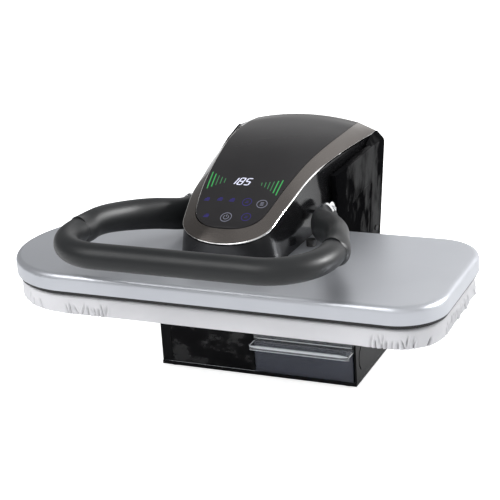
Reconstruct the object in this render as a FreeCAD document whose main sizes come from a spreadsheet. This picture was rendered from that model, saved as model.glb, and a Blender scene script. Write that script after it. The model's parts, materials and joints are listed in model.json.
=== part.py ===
import FreeCAD, Part
import Sketcher
import math
import os
import re
from FreeCAD import Placement, Rotation, Vector

# Steam ironing press: a padded board over a boxed base, a yoke column at the
# back, and a hinged head that carries the heated plate, its cover and a loop
# handle. Millimetres, +Z up, +Y to the back, X along the board. The origin is
# on the table below the middle of the whole press, head closed.

SIZES = (
    ("plate_width", 640.0, "heated plate cover, end to end"),
    ("plate_depth", 259.0, "heated plate cover, front to back"),
    ("plate_y", -44.0, "middle of the plate"),
    ("end_radius", 116.0, "front half of the round left end"),
    ("corner_radius", 62.0, "corners at the right end"),
    ("cloth_top", 175.0, "ironing surface over the table"),
    ("gap_height", 7.0, "cloth to cover rim, head closed"),
    ("cover_height", 24.0, "pressed cover of the heated plate"),
    ("cover_wall", 1.5, "cover sheet"),
    ("cover_edge", 8.0, "rounding of the cover's top edge"),
    ("board_inset", 7.0, "board inside the cover outline"),
    ("cloth_wall", 1.0, "cotton cover"),
    ("cloth_drop", 27.5, "height of the cloth side"),
    ("hem_width", 16.0, "cloth turned in below the board"),
    ("board_sheet", 2.2, "perforated board sheet"),
    ("board_hole", 8.0, "steam holes in the board sheet"),
    ("soft_gap", 0.3, "clearance round soft pieces"),
    ("sole_thick", 8.0, "cast heated plate"),
    ("sole_inset", 12.5, "heated plate inside the cover outline"),
    ("steam_hole", 3.0, "steam holes in the heated plate"),
    ("tray_inset", 3.0, "insulator inside the cover outline"),
    ("base_width", 302.0, "base housing"),
    ("base_front", 5.0, "front face of the base"),
    ("base_back", 244.0, "back face of the base"),
    ("base_top", 137.0, "top of the base housing"),
    ("foot_height", 4.0, "rubber feet"),
    ("foot_radius", 11.0, "rubber feet"),
    ("tray_height", 5.0, "bottom tray of the base"),
    ("bay_top", 73.0, "top of the front opening"),
    ("shell_wall", 2.5, "moulded walls"),
    ("post_width", 16.0, "solid post at the left front edge"),
    ("fit", 0.3, "gap between fixed pieces"),
    ("sheet_steel", 4.0, "frame plate"),
    ("tank_left", -2.0, "left side of the water tank"),
    ("tank_height", 46.0, "water tank"),
    ("tank_depth", 150.0, "water tank"),
    ("tank_wall", 2.2, "tank wall"),
    ("lip_reach", 22.0, "tank lid in front of the base"),
    ("lid_thick", 4.0, "tank lid"),
    ("ledge_start", 1.5, "left end of the lid's ledge from the tank's left side"),
    ("hinge_y", 204.0, "head hinge"),
    ("hinge_z", 293.5, "head hinge"),
    ("hinge_radius", 7.0, "hinge shaft"),
    ("run_gap", 0.05, "running clearance of shafts"),
    ("cheek_inner", 113.3, "inside of the column cheeks, at their rear top corner"),
    ("cheek_outer", 121.3, "outside of the column cheeks, at their rear top corner"),
    ("cheek_top", 295.4, "rear top corner of the column cheeks"),
    ("cheek_front", 113.0, "front of the cheeks, radius about the hinge"),
    ("cheek_lean", 4.5, "cheeks drawn in towards the base, degrees"),
    ("cheek_turn", 8.0, "cheeks drawn in towards the front, degrees"),
    ("column_front", 100.0, "front of the column under the head"),
    ("column_back", 245.0, "back of the column"),
    ("bracket_x", 84.0, "inside of the hinge brackets"),
    ("arm_x", 60.0, "inside of the head arm plates"),
    ("arm_sheet", 3.0, "head arm plate"),
    ("pivot_y", 74.0, "handle pivot"),
    ("pivot_z", 234.0, "handle pivot"),
    ("pivot_radius", 6.0, "handle shaft"),
    ("lever_x", 94.0, "inside of the lever plates"),
    ("lever_sheet", 4.0, "lever plates"),
    ("grip_radius", 17.2, "handle grip"),
    ("core_radius", 10.0, "steel tube in the handle"),
    ("core_wall", 2.0, "steel tube in the handle"),
    ("handle_half", 181.3, "handle centreline, half width"),
    ("handle_front", -227.8, "front bar of the handle"),
    ("handle_z", 260.0, "front bar of the handle"),
    ("handle_bend", 72.0, "front bends of the handle"),
    ("arm_sweep", 192.0, "curve of the arms towards the head"),
    ("arm_end_x", 102.0, "rear end of the handle arms"),
    ("arm_tall", 23.5, "half height of the arms at the rear"),
    ("arm_wide", 13.5, "half width of the arms at the rear"),
    ("spring_wire", 2.0, "pressure springs"),
    ("spring_radius", 8.0, "pressure springs, mean"),
)

doc = FreeCAD.newDocument("SteamPress")
sheet = doc.addObject("Spreadsheet::Sheet", "Sizes")
for row, (alias, number, note) in enumerate(SIZES, start=1):
    sheet.set("A%d" % row, note)
    sheet.set("B%d" % row, str(number))
    sheet.setAlias("B%d" % row, alias)
doc.recompute()


class Sizes:
    """Numbers of the sheet, for shapes that are worked out in code."""


s = Sizes()
for alias, number, note in SIZES:
    setattr(s, alias, float(sheet.get(alias)))

NAMES = set(alias for alias, number, note in SIZES)
nodes = []


def bound(text):
    """An expression in which each size is read from the sheet."""
    return re.sub(r"[a-z][a-z_]*",
                  lambda m: "Sizes." + m.group() if m.group() in NAMES else m.group(), str(text))


def node(item, name):
    item.Label = name
    nodes.append(item)
    return item


def box(name, x, y, z, dx, dy, dz):
    item = doc.addObject("Part::Box", name)
    paths = ("Placement.Base.x", "Placement.Base.y", "Placement.Base.z", "Length", "Width", "Height")
    for path, text in zip(paths, (x, y, z, dx, dy, dz)):
        item.setExpression(path, bound(text))
    return item


TURNS = {
    "z": Rotation(),
    "x": Rotation(Vector(0, 1, 0), 90),
    "y": Rotation(Vector(1, 0, 0), -90),
}


def rod(name, axis, x, y, z, radius, length):
    item = doc.addObject("Part::Cylinder", name)
    item.Placement = Placement(Vector(), TURNS[axis])
    paths = ("Placement.Base.x", "Placement.Base.y", "Placement.Base.z", "Radius", "Height")
    for path, text in zip(paths, (x, y, z, radius, length)):
        item.setExpression(path, bound(text))
    return item


def fused(name, *items):
    item = doc.addObject("Part::MultiFuse", name)
    item.Shapes = list(items)
    return item


def cut(name, base, *tools):
    item = doc.addObject("Part::Cut", name)
    item.Base = base
    item.Tool = tools[0] if len(tools) == 1 else fused(name + "_tools", *tools)
    return item


def group(name, items):
    item = doc.addObject("Part::Compound", name)
    item.Links = list(items)
    return item


def shape(name, solid):
    item = doc.addObject("Part::Feature", name)
    item.Shape = solid
    item.Placement = Placement()
    return item


def body(name):
    return doc.addObject("PartDesign::Body", name)


def sketch(owner, name, role, offset="0"):
    item = owner.newObject("Sketcher::SketchObject", name)
    plane = [f for f in owner.Origin.OriginFeatures if f.Role == role][0]
    item.AttachmentSupport = [(plane, "")]
    item.MapMode = "FlatFace"
    item.setExpression("AttachmentOffset.Base.z", bound(offset))
    return item


def rectangle(item, x, y, dx, dy):
    """Four lines whose corner and sides are bound to the sheet."""
    corners = [Vector(0, 0, 0), Vector(9, 0, 0), Vector(9, 9, 0), Vector(0, 9, 0)]
    for i in range(4):
        item.addGeometry(Part.LineSegment(corners[i], corners[(i + 1) % 4]), False)
    for i in range(4):
        item.addConstraint(Sketcher.Constraint("Coincident", i, 2, (i + 1) % 4, 1))
    for i, kind in enumerate(("Horizontal", "Vertical", "Horizontal", "Vertical")):
        item.addConstraint(Sketcher.Constraint(kind, i))
    rows = (("left", Sketcher.Constraint("DistanceX", -1, 1, 0, 1, 1.0), x),
            ("low", Sketcher.Constraint("DistanceY", -1, 1, 0, 1, 1.0), y),
            ("across", Sketcher.Constraint("DistanceX", 0, 1, 0, 2, 9.0), dx),
            ("along", Sketcher.Constraint("DistanceY", 1, 1, 1, 2, 9.0), dy))
    for label, rule, text in rows:
        index = item.addConstraint(rule)
        item.renameConstraint(index, label)
        item.setExpression("Constraints." + label, bound(text))


def polygon(item, points):
    count = len(points)
    for i in range(count):
        start = Vector(points[i][0], points[i][1], 0)
        end = Vector(points[(i + 1) % count][0], points[(i + 1) % count][1], 0)
        item.addGeometry(Part.LineSegment(start, end), False)
    for i in range(count):
        item.addConstraint(Sketcher.Constraint("Coincident", i, 2, (i + 1) % count, 1))


def pad(owner, name, profile, length, reverse=False):
    item = owner.newObject("PartDesign::Pad", name)
    item.Profile = profile
    item.Reversed = reverse
    item.setExpression("Length", bound(length))
    return item


def pocket(owner, name, profile, length, reverse=False):
    item = owner.newObject("PartDesign::Pocket", name)
    item.Profile = profile
    item.Reversed = reverse
    item.setExpression("Length", bound(length))
    return item


def arc(centre, radius, start, end):
    circle = Part.Circle(Vector(centre[0], centre[1], 0), Vector(0, 0, 1), radius)
    return Part.ArcOfCircle(circle, math.radians(start), math.radians(end))


def plate_outline(item, inset):
    """Outline of cover, board and plates: two arcs at the left end, two
    rounded corners at the right, all moved in by the inset."""
    half = s.plate_width / 2 - inset
    low = s.plate_y - s.plate_depth / 2 + inset
    high = s.plate_y + s.plate_depth / 2 - inset
    left_front = s.end_radius - inset
    left_back = high - low - left_front
    corner = s.corner_radius - inset
    front = Part.LineSegment(Vector(-half + left_front, low, 0), Vector(half - corner, low, 0))
    right = Part.LineSegment(Vector(half, low + corner, 0), Vector(half, high - corner, 0))
    back = Part.LineSegment(Vector(half - corner, high, 0), Vector(-half + left_back, high, 0))
    for piece in (front,
                  arc((half - corner, low + corner), corner, -90, 0),
                  right,
                  arc((half - corner, high - corner), corner, 0, 90),
                  back,
                  arc((-half + left_back, high - left_back), left_back, 90, 180),
                  arc((-half + left_front, low + left_front), left_front, 180, 270)):
        item.addGeometry(piece, False)
    for a, b in ((0, 1), (1, 2), (2, 3), (3, 4), (4, 5), (5, 6), (6, 0)):
        item.addConstraint(Sketcher.Constraint("Coincident", a, 2, b, 1))


def layer(owner, name, inset, low, height, cutting=False):
    profile = sketch(owner, name + "_outline", "XY_Plane", low)
    plate_outline(profile, inset)
    if cutting:
        return pocket(owner, name, profile, height, reverse=True)
    return pad(owner, name, profile, height)


def side_plate(name, points, start, thick, side):
    """A plate cut to a side-view outline, standing at x = start, on one side."""
    owner = body(name)
    offset = start if side > 0 else "-(%s)" % start
    profile = sketch(owner, name + "_outline", "YZ_Plane", offset)
    polygon(profile, points)
    pad(owner, name + "_plate", profile, thick, reverse=side < 0)
    return owner


def round_edges(owner, name, base, edges, radius):
    item = owner.newObject("PartDesign::Fillet", name)
    item.Base = (base, edges)
    item.setExpression("Radius", bound(radius))
    return item


def flat_edges(solid, z):
    """Names of the edges that lie flat at height z."""
    names = []
    for i, edge in enumerate(solid.Edges, start=1):
        box_of = edge.BoundBox
        if abs(box_of.ZMin - z) < 1e-4 and abs(box_of.ZMax - z) < 1e-4:
            names.append("Edge%d" % i)
    return names


SIDES = (("left", -1), ("right", 1))

# The board: sheet, pad and cloth.

cloth_low = s.cloth_top - s.cloth_drop
pad_inset = s.board_inset + s.cloth_wall + s.soft_gap


def make_board():
    plate = body("board_plate")
    low = "cloth_top - cloth_drop + cloth_wall + soft_gap"
    layer(plate, "board_sheet_pad", pad_inset, low, "board_sheet")
    doc.recompute()
    holes = sketch(plate, "board_holes_sketch", "XY_Plane", low)
    rows = 4
    columns = 12
    pitch = 44.0
    for i in range(columns):
        for j in range(rows):
            centre = Vector((i - (columns - 1) / 2) * pitch, s.plate_y + (j - (rows - 1) / 2) * pitch, 0)
            holes.addGeometry(Part.Circle(centre, Vector(0, 0, 1), s.board_hole / 2), False)
    pocket(plate, "board_holes", holes, "board_sheet + 1", reverse=True)
    node(plate, "board_plate")

    foam = body("board_pad")
    layer(foam, "foam", pad_inset, low + " + board_sheet + soft_gap",
          "cloth_drop - 2 * cloth_wall - 3 * soft_gap - board_sheet")
    node(foam, "board_pad")

    cloth = body("board_cover")
    layer(cloth, "cloth_outside", s.board_inset, "cloth_top - cloth_drop", "cloth_drop")
    doc.recompute()
    layer(cloth, "cloth_inside", s.board_inset + s.cloth_wall, "cloth_top - cloth_drop + cloth_wall",
          "cloth_drop - 2 * cloth_wall", cutting=True)
    doc.recompute()
    layer(cloth, "cloth_mouth", s.board_inset + s.hem_width, "cloth_top - cloth_drop",
          "cloth_wall + 0.1", cutting=True)
    node(cloth, "board_cover")


# Two channels carry the board from the base to its front.

def make_board_supports():
    rails = []
    height = s.cloth_top - s.cloth_drop - s.base_top - s.fit
    for word, side in SIDES:
        x = "%d * 118 - 14" % side
        outer = box("board_rail_" + word, x, -125, "base_top", 28, 209, height)
        inner = box("board_rail_hollow_" + word, x + " + 2.5", -124, "base_top - 1", 23, 207, height - 1.5)
        rails.append(cut("board_rail_cut_" + word, outer, inner))
        foot = box("board_stud_" + word, x + " + 8", 20, "base_top + %f" % (height - 2.6), 12, 12,
                   "cloth_wall + fit + soft_gap + 2.6")
        rails[-1] = fused("board_rail_stud_" + word, rails[-1], foot)
    node(group("board_supports", rails), "board_supports")


# The base.

def make_base():
    depth = "base_back - base_front"
    tray = body("base_tray")
    floor = sketch(tray, "tray_outline", "XY_Plane", "foot_height")
    rectangle(floor, "-base_width / 2", "base_front - 2", "base_width", depth + " + 2")
    pad(tray, "tray_block", floor, "tray_height")
    doc.recompute()
    hollow = sketch(tray, "tray_hollow_outline", "XY_Plane", "foot_height + shell_wall")
    rectangle(hollow, "-base_width / 2 + shell_wall", "base_front + 1", "base_width - 2 * shell_wall",
              depth + " - 1 - shell_wall")
    pocket(tray, "tray_hollow", hollow, "tray_height", reverse=True)
    node(tray, "base_tray")

    low = "foot_height + tray_height + fit"
    tall = "base_top - foot_height - tray_height - fit"
    outer = box("housing_block", "-base_width / 2", "base_front", low, "base_width", depth, tall)
    room = box("housing_room", "-base_width / 2 + shell_wall", "base_front - 1", low + " - 1",
               "base_width - 2 * shell_wall", depth + " + 1 - shell_wall", tall + " + 1 - shell_wall")
    post = box("housing_post", "-base_width / 2", "base_front", low, "post_width", "shell_wall", tall)
    front_bar = box("housing_front_bar", "-base_width / 2", "base_front", "bay_top", "base_width",
                    "shell_wall", "base_top - bay_top")
    shell = cut("housing_shell", outer, room)
    inlet = box("inlet_window", -140, "base_back - 10", 40, 28, 20, 20)
    bracket_slots = [box("bracket_slot_" + word, "%d * (bracket_x + sheet_steel / 2) - sheet_steel / 2 - fit"
                         % side, 138, "base_top - 10", "sheet_steel + 2 * fit", 100, 20)
                     for word, side in SIDES]
    whole = fused("housing_whole", shell, post, front_bar)
    node(cut("base_housing", whole, inlet, *bracket_slots), "base_housing")

    left = "-base_width / 2 + post_width + fit"
    node(box("front_panel", left, "base_front + fit", low, "base_width / 2 - post_width - fit + tank_left - 2",
             "shell_wall", "bay_top - fit - foot_height - tray_height - fit"), "front_panel")
    node(box("tank_divider", "tank_left - 1 - shell_wall", "base_front + 3 + 2 * fit",
             "foot_height + shell_wall", "shell_wall - 0.4", "tank_depth",
             "bay_top - foot_height - shell_wall"), "tank_divider")

    feet = [rod("foot_%s_%d" % (word, i), "z", "%d * (base_width / 2 - 16)" % side, y, 0, "foot_radius",
                "foot_height")
            for word, side in SIDES for i, y in enumerate(("base_front + 16", "base_back - 16"))]
    node(group("rubber_feet", feet), "rubber_feet")


make_board()
make_board_supports()
make_base()


# The steel frame in the base, with the two hinge brackets.

floor_z = s.foot_height + s.shell_wall
hinge = Vector(0, s.hinge_y, s.hinge_z)


def boss_outline(centre, radius, start, end, steps=10):
    """Points of a round boss, from one angle to the other."""
    points = []
    for i in range(steps + 1):
        angle = math.radians(start + (end - start) * i / steps)
        points.append((centre[0] + radius * math.cos(angle), centre[1] + radius * math.sin(angle)))
    return points


def make_frame():
    wide = box("chassis_back", "-base_width / 2 + shell_wall + 1", 168, "foot_height + shell_wall",
               "base_width - 2 * shell_wall - 2", "base_back - 168 - shell_wall - 1", "sheet_steel")
    arm = box("chassis_left", "-base_width / 2 + shell_wall + 1", "base_front + 8", "foot_height + shell_wall",
              "base_width / 2 + tank_left - shell_wall - 6", 164, "sheet_steel")
    node(fused("base_frame", wide, arm), "base_frame")

    low = floor_z + s.sheet_steel
    front_foot = 172.0
    back_foot = s.base_back - 6
    boss = boss_outline((s.hinge_y, s.hinge_z), 14.0, -30, 186)
    outline = [(back_foot, low), (back_foot, low + 60), (s.hinge_y + 10, s.hinge_z - 60)] + boss
    outline += [(front_foot - 26, s.base_top + 20), (front_foot - 26, low + 90), (front_foot, low + 40),
                (front_foot, low)]
    for word, side in SIDES:
        plate = side_plate("bracket_" + word, outline, "bracket_x", "sheet_steel", side)
        eye = rod("bracket_eye_" + word, "x", "%d * (bracket_x + sheet_steel / 2) - 10" % side, "hinge_y",
                  "hinge_z", "hinge_radius + run_gap", 20)
        node(cut("hinge_bracket_" + word, plate, eye), "hinge_bracket_" + word)
    brace_low = box("brace_low", "-bracket_x", 200, low, "2 * bracket_x", "sheet_steel",
                    s.base_top - s.shell_wall - 2 - low)
    brace_high = box("brace_high", "-bracket_x", 200, "base_top + 4", "2 * bracket_x", "sheet_steel", 74)
    node(group("cross_braces", [brace_low, brace_high]), "cross_braces")

    node(rod("hinge_shaft", "x", "-bracket_x - sheet_steel - 7", "hinge_y", "hinge_z", "hinge_radius",
             "2 * (bracket_x + sheet_steel + 7)"), "hinge_shaft")
    clips = []
    for word, side in SIDES:
        x = "%d * (bracket_x + sheet_steel + 1.4) - 0.6" % side
        ring = rod("clip_" + word, "x", x, "hinge_y", "hinge_z", "hinge_radius + 3", 1.2)
        hole = rod("clip_hole_" + word, "x", x + " - 1", "hinge_y", "hinge_z", "hinge_radius + 0.02", 3.2)
        clips.append(cut("clip_ring_" + word, ring, hole))
    node(group("shaft_clips", clips), "shaft_clips")


def biarc(p, tp, q, tq):
    """Two tangent arcs from p to q with the end directions tp and tq."""
    v = q - p
    t = tp + tq
    k = 2 * (1 - tp.dot(tq))
    d = (-v.dot(t) + math.sqrt(v.dot(t) ** 2 + k * v.dot(v))) / k
    a = p + tp * d
    b = q - tq * d
    joint = (a + b) * 0.5
    edges = []
    for start, corner, end in ((p, a, joint), (joint, b, q)):
        middle = (start + end) * 0.5
        to_middle = (middle - corner).Length
        leg = (start - corner).Length
        sine = (start - middle).Length / leg
        cosine = to_middle / leg
        crown = leg / cosine - leg * sine / cosine
        point = corner + (middle - corner) * (crown / to_middle)
        edges.append(Part.Arc(start, point, end).toShape())
    return edges


def coil(centre, axis, across, radius, wire, length, turns):
    """A helical spring: one wire on arcs of a quarter turn."""
    third = axis.cross(across)
    quarter = math.pi / 2

    def point(angle):
        flat = across * (radius * math.cos(angle)) + third * (radius * math.sin(angle))
        return centre + flat + axis * (length * angle / (2 * math.pi * turns))

    def tangent(angle):
        flat = third * (radius * math.cos(angle)) - across * (radius * math.sin(angle))
        way = flat + axis * (length / (2 * math.pi * turns))
        return way.normalize()

    edges = []
    for i in range(int(turns * 4)):
        edges += biarc(point(i * quarter), tangent(i * quarter), point((i + 1) * quarter),
                       tangent((i + 1) * quarter))
    ring = Part.Circle(point(0), tangent(0), wire / 2)
    return Part.Wire(edges).makePipeShell([Part.Wire([ring.toShape()])], True, False)


def make_torsion_springs():
    for word, side in SIDES:
        start = hinge + Vector(side * 67.0, 0, 0)
        spring = coil(start, Vector(side, 0, 0), Vector(0, 0, 1), 11.0, 3.0, 13.5, 3.5)
        node(shape("torsion_spring_" + word, spring), "torsion_spring_" + word)


make_frame()
make_torsion_springs()


# Head surfaces. Stations along the head, each at its y: the panel edge (half
# width, height) with the height of the middle, the lower edge of the band
# round it, and the lower edge of the black skirt below the band.

PANEL = ((-51, 50.8, 266.0, 266.6), (-30, 56.0, 276.0, 276.8), (-4, 60.3, 287.0, 288.2),
         (29, 64.8, 297.5, 299.5), (62, 68.7, 305.8, 310.5), (103, 74.3, 313.0, 320.0),
         (154, 80.0, 317.8, 325.6), (180, 81.5, 318.6, 326.8), (204, 82.0, 318.9, 327.3),
         (226, 81.7, 318.2, 326.9))
BAND = ((-50, 67.5, 260.0), (-28, 71.5, 269.5), (-4, 75.0, 278.0), (29, 77.2, 286.5), (62, 81.0, 293.5),
        (103, 86.8, 299.0), (154, 94.4, 302.4), (180, 98.6, 303.6), (204, 102.2, 304.2), (226, 106.0, 305.0))
SKIRT = ((-50, 74.0, 0.0), (-28, 74.3, 0.0), (-4, 74.6, 0.0), (29, 75.0, 0.0), (62, 76.0, 0.0),
         (92, 81.0, 6.0), (136, 89.5, 32.0), (162, 94.2, 46.0), (188, 98.0, 57.5), (215, 100.6, 66.0),
         (240, 102.0, 72.0))
PANEL_NOSE = ((46.5, -60.0, 262.0), (37.0, -69.5, 257.8), (20.0, -76.4, 254.8), (0.0, -78.2, 254.0))
BAND_NOSE = ((64.0, -65.0, 253.0), (52.0, -80.0, 246.0), (29.0, -90.5, 240.5), (0.0, -94.0, 238.5))
SKIRT_NOSE = ((71.5, -62.0, 0.0), (60.0, -75.0, 0.0), (34.0, -83.0, 0.0), (0.0, -85.0, 0.0))
PANEL_REAR = (81.0, 316.8, 325.9)
BAND_REAR = (107.5, 306.0)
REAR_LOW = 277.0

cover_top = s.cloth_top + s.gap_height + s.cover_height
skirt_z = cover_top + s.fit


def edge_points(sides, nose):
    """Stations from the back on the right, round the nose, to the back on the left."""
    right = [Vector(x, y, z) for y, x, z in reversed(sides)]
    half_nose = [Vector(x, y, z) for x, y, z in nose]
    left = [Vector(-p.x, p.y, p.z) for p in reversed(right + half_nose[:-1])]
    return right + half_nose + left


def outward(points, i):
    """Level direction out of the outline at a station."""
    before = points[max(i - 1, 0)]
    after = points[min(i + 1, len(points) - 1)]
    along = Vector(after.x - before.x, after.y - before.y, 0)
    return Vector(-along.y, along.x, 0).normalize()


def band_wires(upper, lower, wall):
    """Sections of a wall from the upper edge to the lower one, wall thick inward."""
    wires = []
    for i in range(len(upper)):
        out = outward(lower, i)
        slope = lower[i] - upper[i]
        inward = slope.cross(out.cross(Vector(0, 0, 1))).normalize()
        if inward.dot(out) > 0:
            inward = inward * -1
        shift = inward * wall
        wires.append(Part.makePolygon([upper[i], lower[i], lower[i] + shift, upper[i] + shift, upper[i]]))
    return wires


def crown_section(y, half, z_edge, z_mid, wall):
    """A section of the panel skin: crowned above and below, square at the edges."""
    top = [Vector(-half, y, z_edge), Vector(0, y, z_mid), Vector(half, y, z_edge)]
    slope = wall * 0.85
    low = [Vector(-half + slope, y, z_edge - wall), Vector(0, y, z_mid - wall),
           Vector(half - slope, y, z_edge - wall)]
    return Part.Wire([Part.Arc(*top).toShape(), Part.makeLine(top[2], low[2]),
                      Part.Arc(low[2], low[1], low[0]).toShape(), Part.makeLine(low[0], top[0])])


hood_back = s.column_back
panel_sides = [(y, half, z) for y, half, z, mid in PANEL] + [(hood_back,) + PANEL_REAR[:2]]
band_sides = list(BAND) + [(hood_back,) + BAND_REAR]
panel_edge = edge_points(panel_sides, PANEL_NOSE)
band_edge = edge_points(band_sides, BAND_NOSE)
skirt_sides = [(y, half, skirt_z + up) for y, half, up in SKIRT]
skirt_nose = [(half, y, skirt_z + up) for half, y, up in SKIRT_NOSE]
skirt_edge = edge_points(skirt_sides, skirt_nose)
seam = 0.8


def rear_wall():
    """The hood's back, under the rear end of panel and band."""
    half, z_edge, z_mid = PANEL_REAR
    y = hood_back
    crown = Part.Arc(Vector(-half, y, z_edge), Vector(0, y, z_mid), Vector(half, y, z_edge)).toShape()
    side, z_low = BAND_REAR
    rim = Part.makePolygon([Vector(half, y, z_edge), Vector(side, y, z_low), Vector(side - 2, y, REAR_LOW),
                            Vector(2 - side, y, REAR_LOW), Vector(-side, y, z_low), Vector(-half, y, z_edge)])
    return Part.Face(Part.Wire([crown] + rim.Edges)).extrude(Vector(0, -s.shell_wall, 0))


def make_hood():
    band = Part.makeLoft(band_wires(panel_edge, band_edge, s.shell_wall), True, False)
    node(shape("hood_band", band.fuse(rear_wall()).removeSplitter()), "hood_band")

    rows = [(-75.8, 9.0, 254.2, 254.5), (-74.2, 21.0, 255.1, 255.5), (-68.0, 36.5, 257.9, 258.6),
            (-60.0, 45.6, 261.9, 262.6)] + list(PANEL)
    rows.append((hood_back - s.shell_wall - s.fit,) + PANEL_REAR)
    sections = [crown_section(y, half - seam, z_edge, z_mid, s.shell_wall) for y, half, z_edge, z_mid in rows]
    node(shape("control_panel", Part.makeLoft(sections, True, False, False, 3)), "control_panel")


def make_skirt():
    """The black nose and sides below the band, open at the bottom and back."""
    top = []
    reach = (s.column_back - 5 - BAND[-1][0]) / (s.column_back - BAND[-1][0])
    ends = [near + (end - near) * reach for near, end in (band_edge[1::-1], band_edge[-2:])]
    beside = [ends[0]] + band_edge[1:-1] + [ends[1]]
    for i, p in enumerate(beside):
        out = outward(beside, i)
        top.append(p - out * 0.8 + Vector(0, 0, -s.shell_wall - 0.6))
    wires = band_wires(top, skirt_edge, s.shell_wall)
    skirt = Part.makeLoft(wires, True, False)
    hole = Part.makeCylinder(s.pivot_radius + 2, 240, Vector(-120, s.pivot_y, s.pivot_z), Vector(1, 0, 0))
    node(shape("head_skirt", skirt.cut(hole)), "head_skirt")


make_hood()
make_skirt()


# The column: two cheeks, a back cover and a front cover.

cheek_low = s.base_top + s.fit


def cheek_inside(y, z):
    """Half width between the cheeks at a place along them and a height."""
    turn = math.radians(s.cheek_turn)
    slant = math.radians(s.cheek_lean)
    thick = (s.cheek_outer - s.cheek_inner) / (math.cos(turn) * math.cos(slant))
    along = (s.column_back - y) * math.tan(turn)
    down = (s.cheek_top - z) * math.tan(slant) / math.cos(turn)
    return s.cheek_outer - thick - along - down


def lean(item, side):
    """Turn a piece with a cheek, about the cheek's rear top corner."""
    down = Rotation(Vector(0, 1, 0), side * s.cheek_lean)
    along = Rotation(Vector(0, 0, 1), -side * s.cheek_turn)
    corner = Vector(side * s.cheek_outer, s.column_back, s.cheek_top)
    item.Placement = Placement(Vector(), along.multiply(down), corner)
    return item


def between_cheeks(name, y, low, high, gap):
    """An upright wall from one leaning cheek to the other."""
    wide_low = cheek_inside(y, low) - gap
    wide_high = cheek_inside(y, high) - gap
    rim = Part.makePolygon([Vector(-wide_low, y, low), Vector(wide_low, y, low), Vector(wide_high, y, high),
                            Vector(-wide_high, y, high), Vector(-wide_low, y, low)])
    return shape(name, Part.Face(rim).extrude(Vector(0, s.shell_wall, 0)))


# The cheeks' top falls to the front: y, and the fall below the rear top corner.
CHEEK_FALL = ((204.0, 2.0), (150.0, 9.0), (100.0, 15.0))


def cheek_outline(inset, drop):
    """Side view of a cheek, moved in by the inset: its front is round about the hinge."""
    back = s.column_back - inset
    top = s.cheek_top - inset
    radius = s.cheek_front - inset
    front = max(s.column_front + inset, s.hinge_y - radius)
    turn = math.degrees(math.acos((s.hinge_y - front) / radius))
    rounded = boss_outline((s.hinge_y, s.hinge_z), radius, 186.6 + 0.55 * inset, 180 + turn, 8)
    slope = [(y, top - fall) for y, fall in CHEEK_FALL]
    rear = [(back, cheek_low - drop), (back, top - 4), (back - 3, top)]
    return rear + slope + rounded + [(front, cheek_low - drop)]


def make_column():
    wall = s.shell_wall
    drop = 6.0
    low = cheek_low + 20
    recess_back = 209.0
    recess = [(recess_back, low), (recess_back, 236)] + boss_outline((recess_back - 4, 110), 126.0, 92, 170, 14)
    recess.append((recess_back - 130, low))
    thick = "cheek_outer - cheek_inner"
    for word, side in SIDES:
        block = side_plate("cheek_block_" + word, cheek_outline(0.0, drop), "cheek_inner", thick, side)
        room = side_plate("cheek_room_" + word, cheek_outline(wall, 2 * drop), "cheek_inner - 1",
                          thick + " + 1 - shell_wall", side)
        mark = side_plate("cheek_recess_" + word, recess, "cheek_outer - 0.8", "2", side)
        for item in (block, room, mark):
            lean(item, side)
        foot = box("cheek_foot_" + word, -200, 0, cheek_low - 40, 400, 300, 40)
        rear = box("cheek_rear_" + word, -200, "column_back", 0, 400, 20, "2 * cheek_top")
        node(cut("column_" + word, block, room, mark, foot, rear), "column_" + word)

    slot_top = s.hinge_z - 29.5
    wall_box = between_cheeks("column_back_wall", s.column_back - wall - 0.5, cheek_low, slot_top, s.fit)
    socket = rod("valve_hole", "y", -60, "column_back - 20", 170, 9.0, 40)
    node(cut("column_back_cover", wall_box, socket), "column_back_cover")
    node(between_cheeks("column_front_cover", s.column_front + 5, cheek_low, 196.0, s.fit),
         "column_front_cover")


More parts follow.
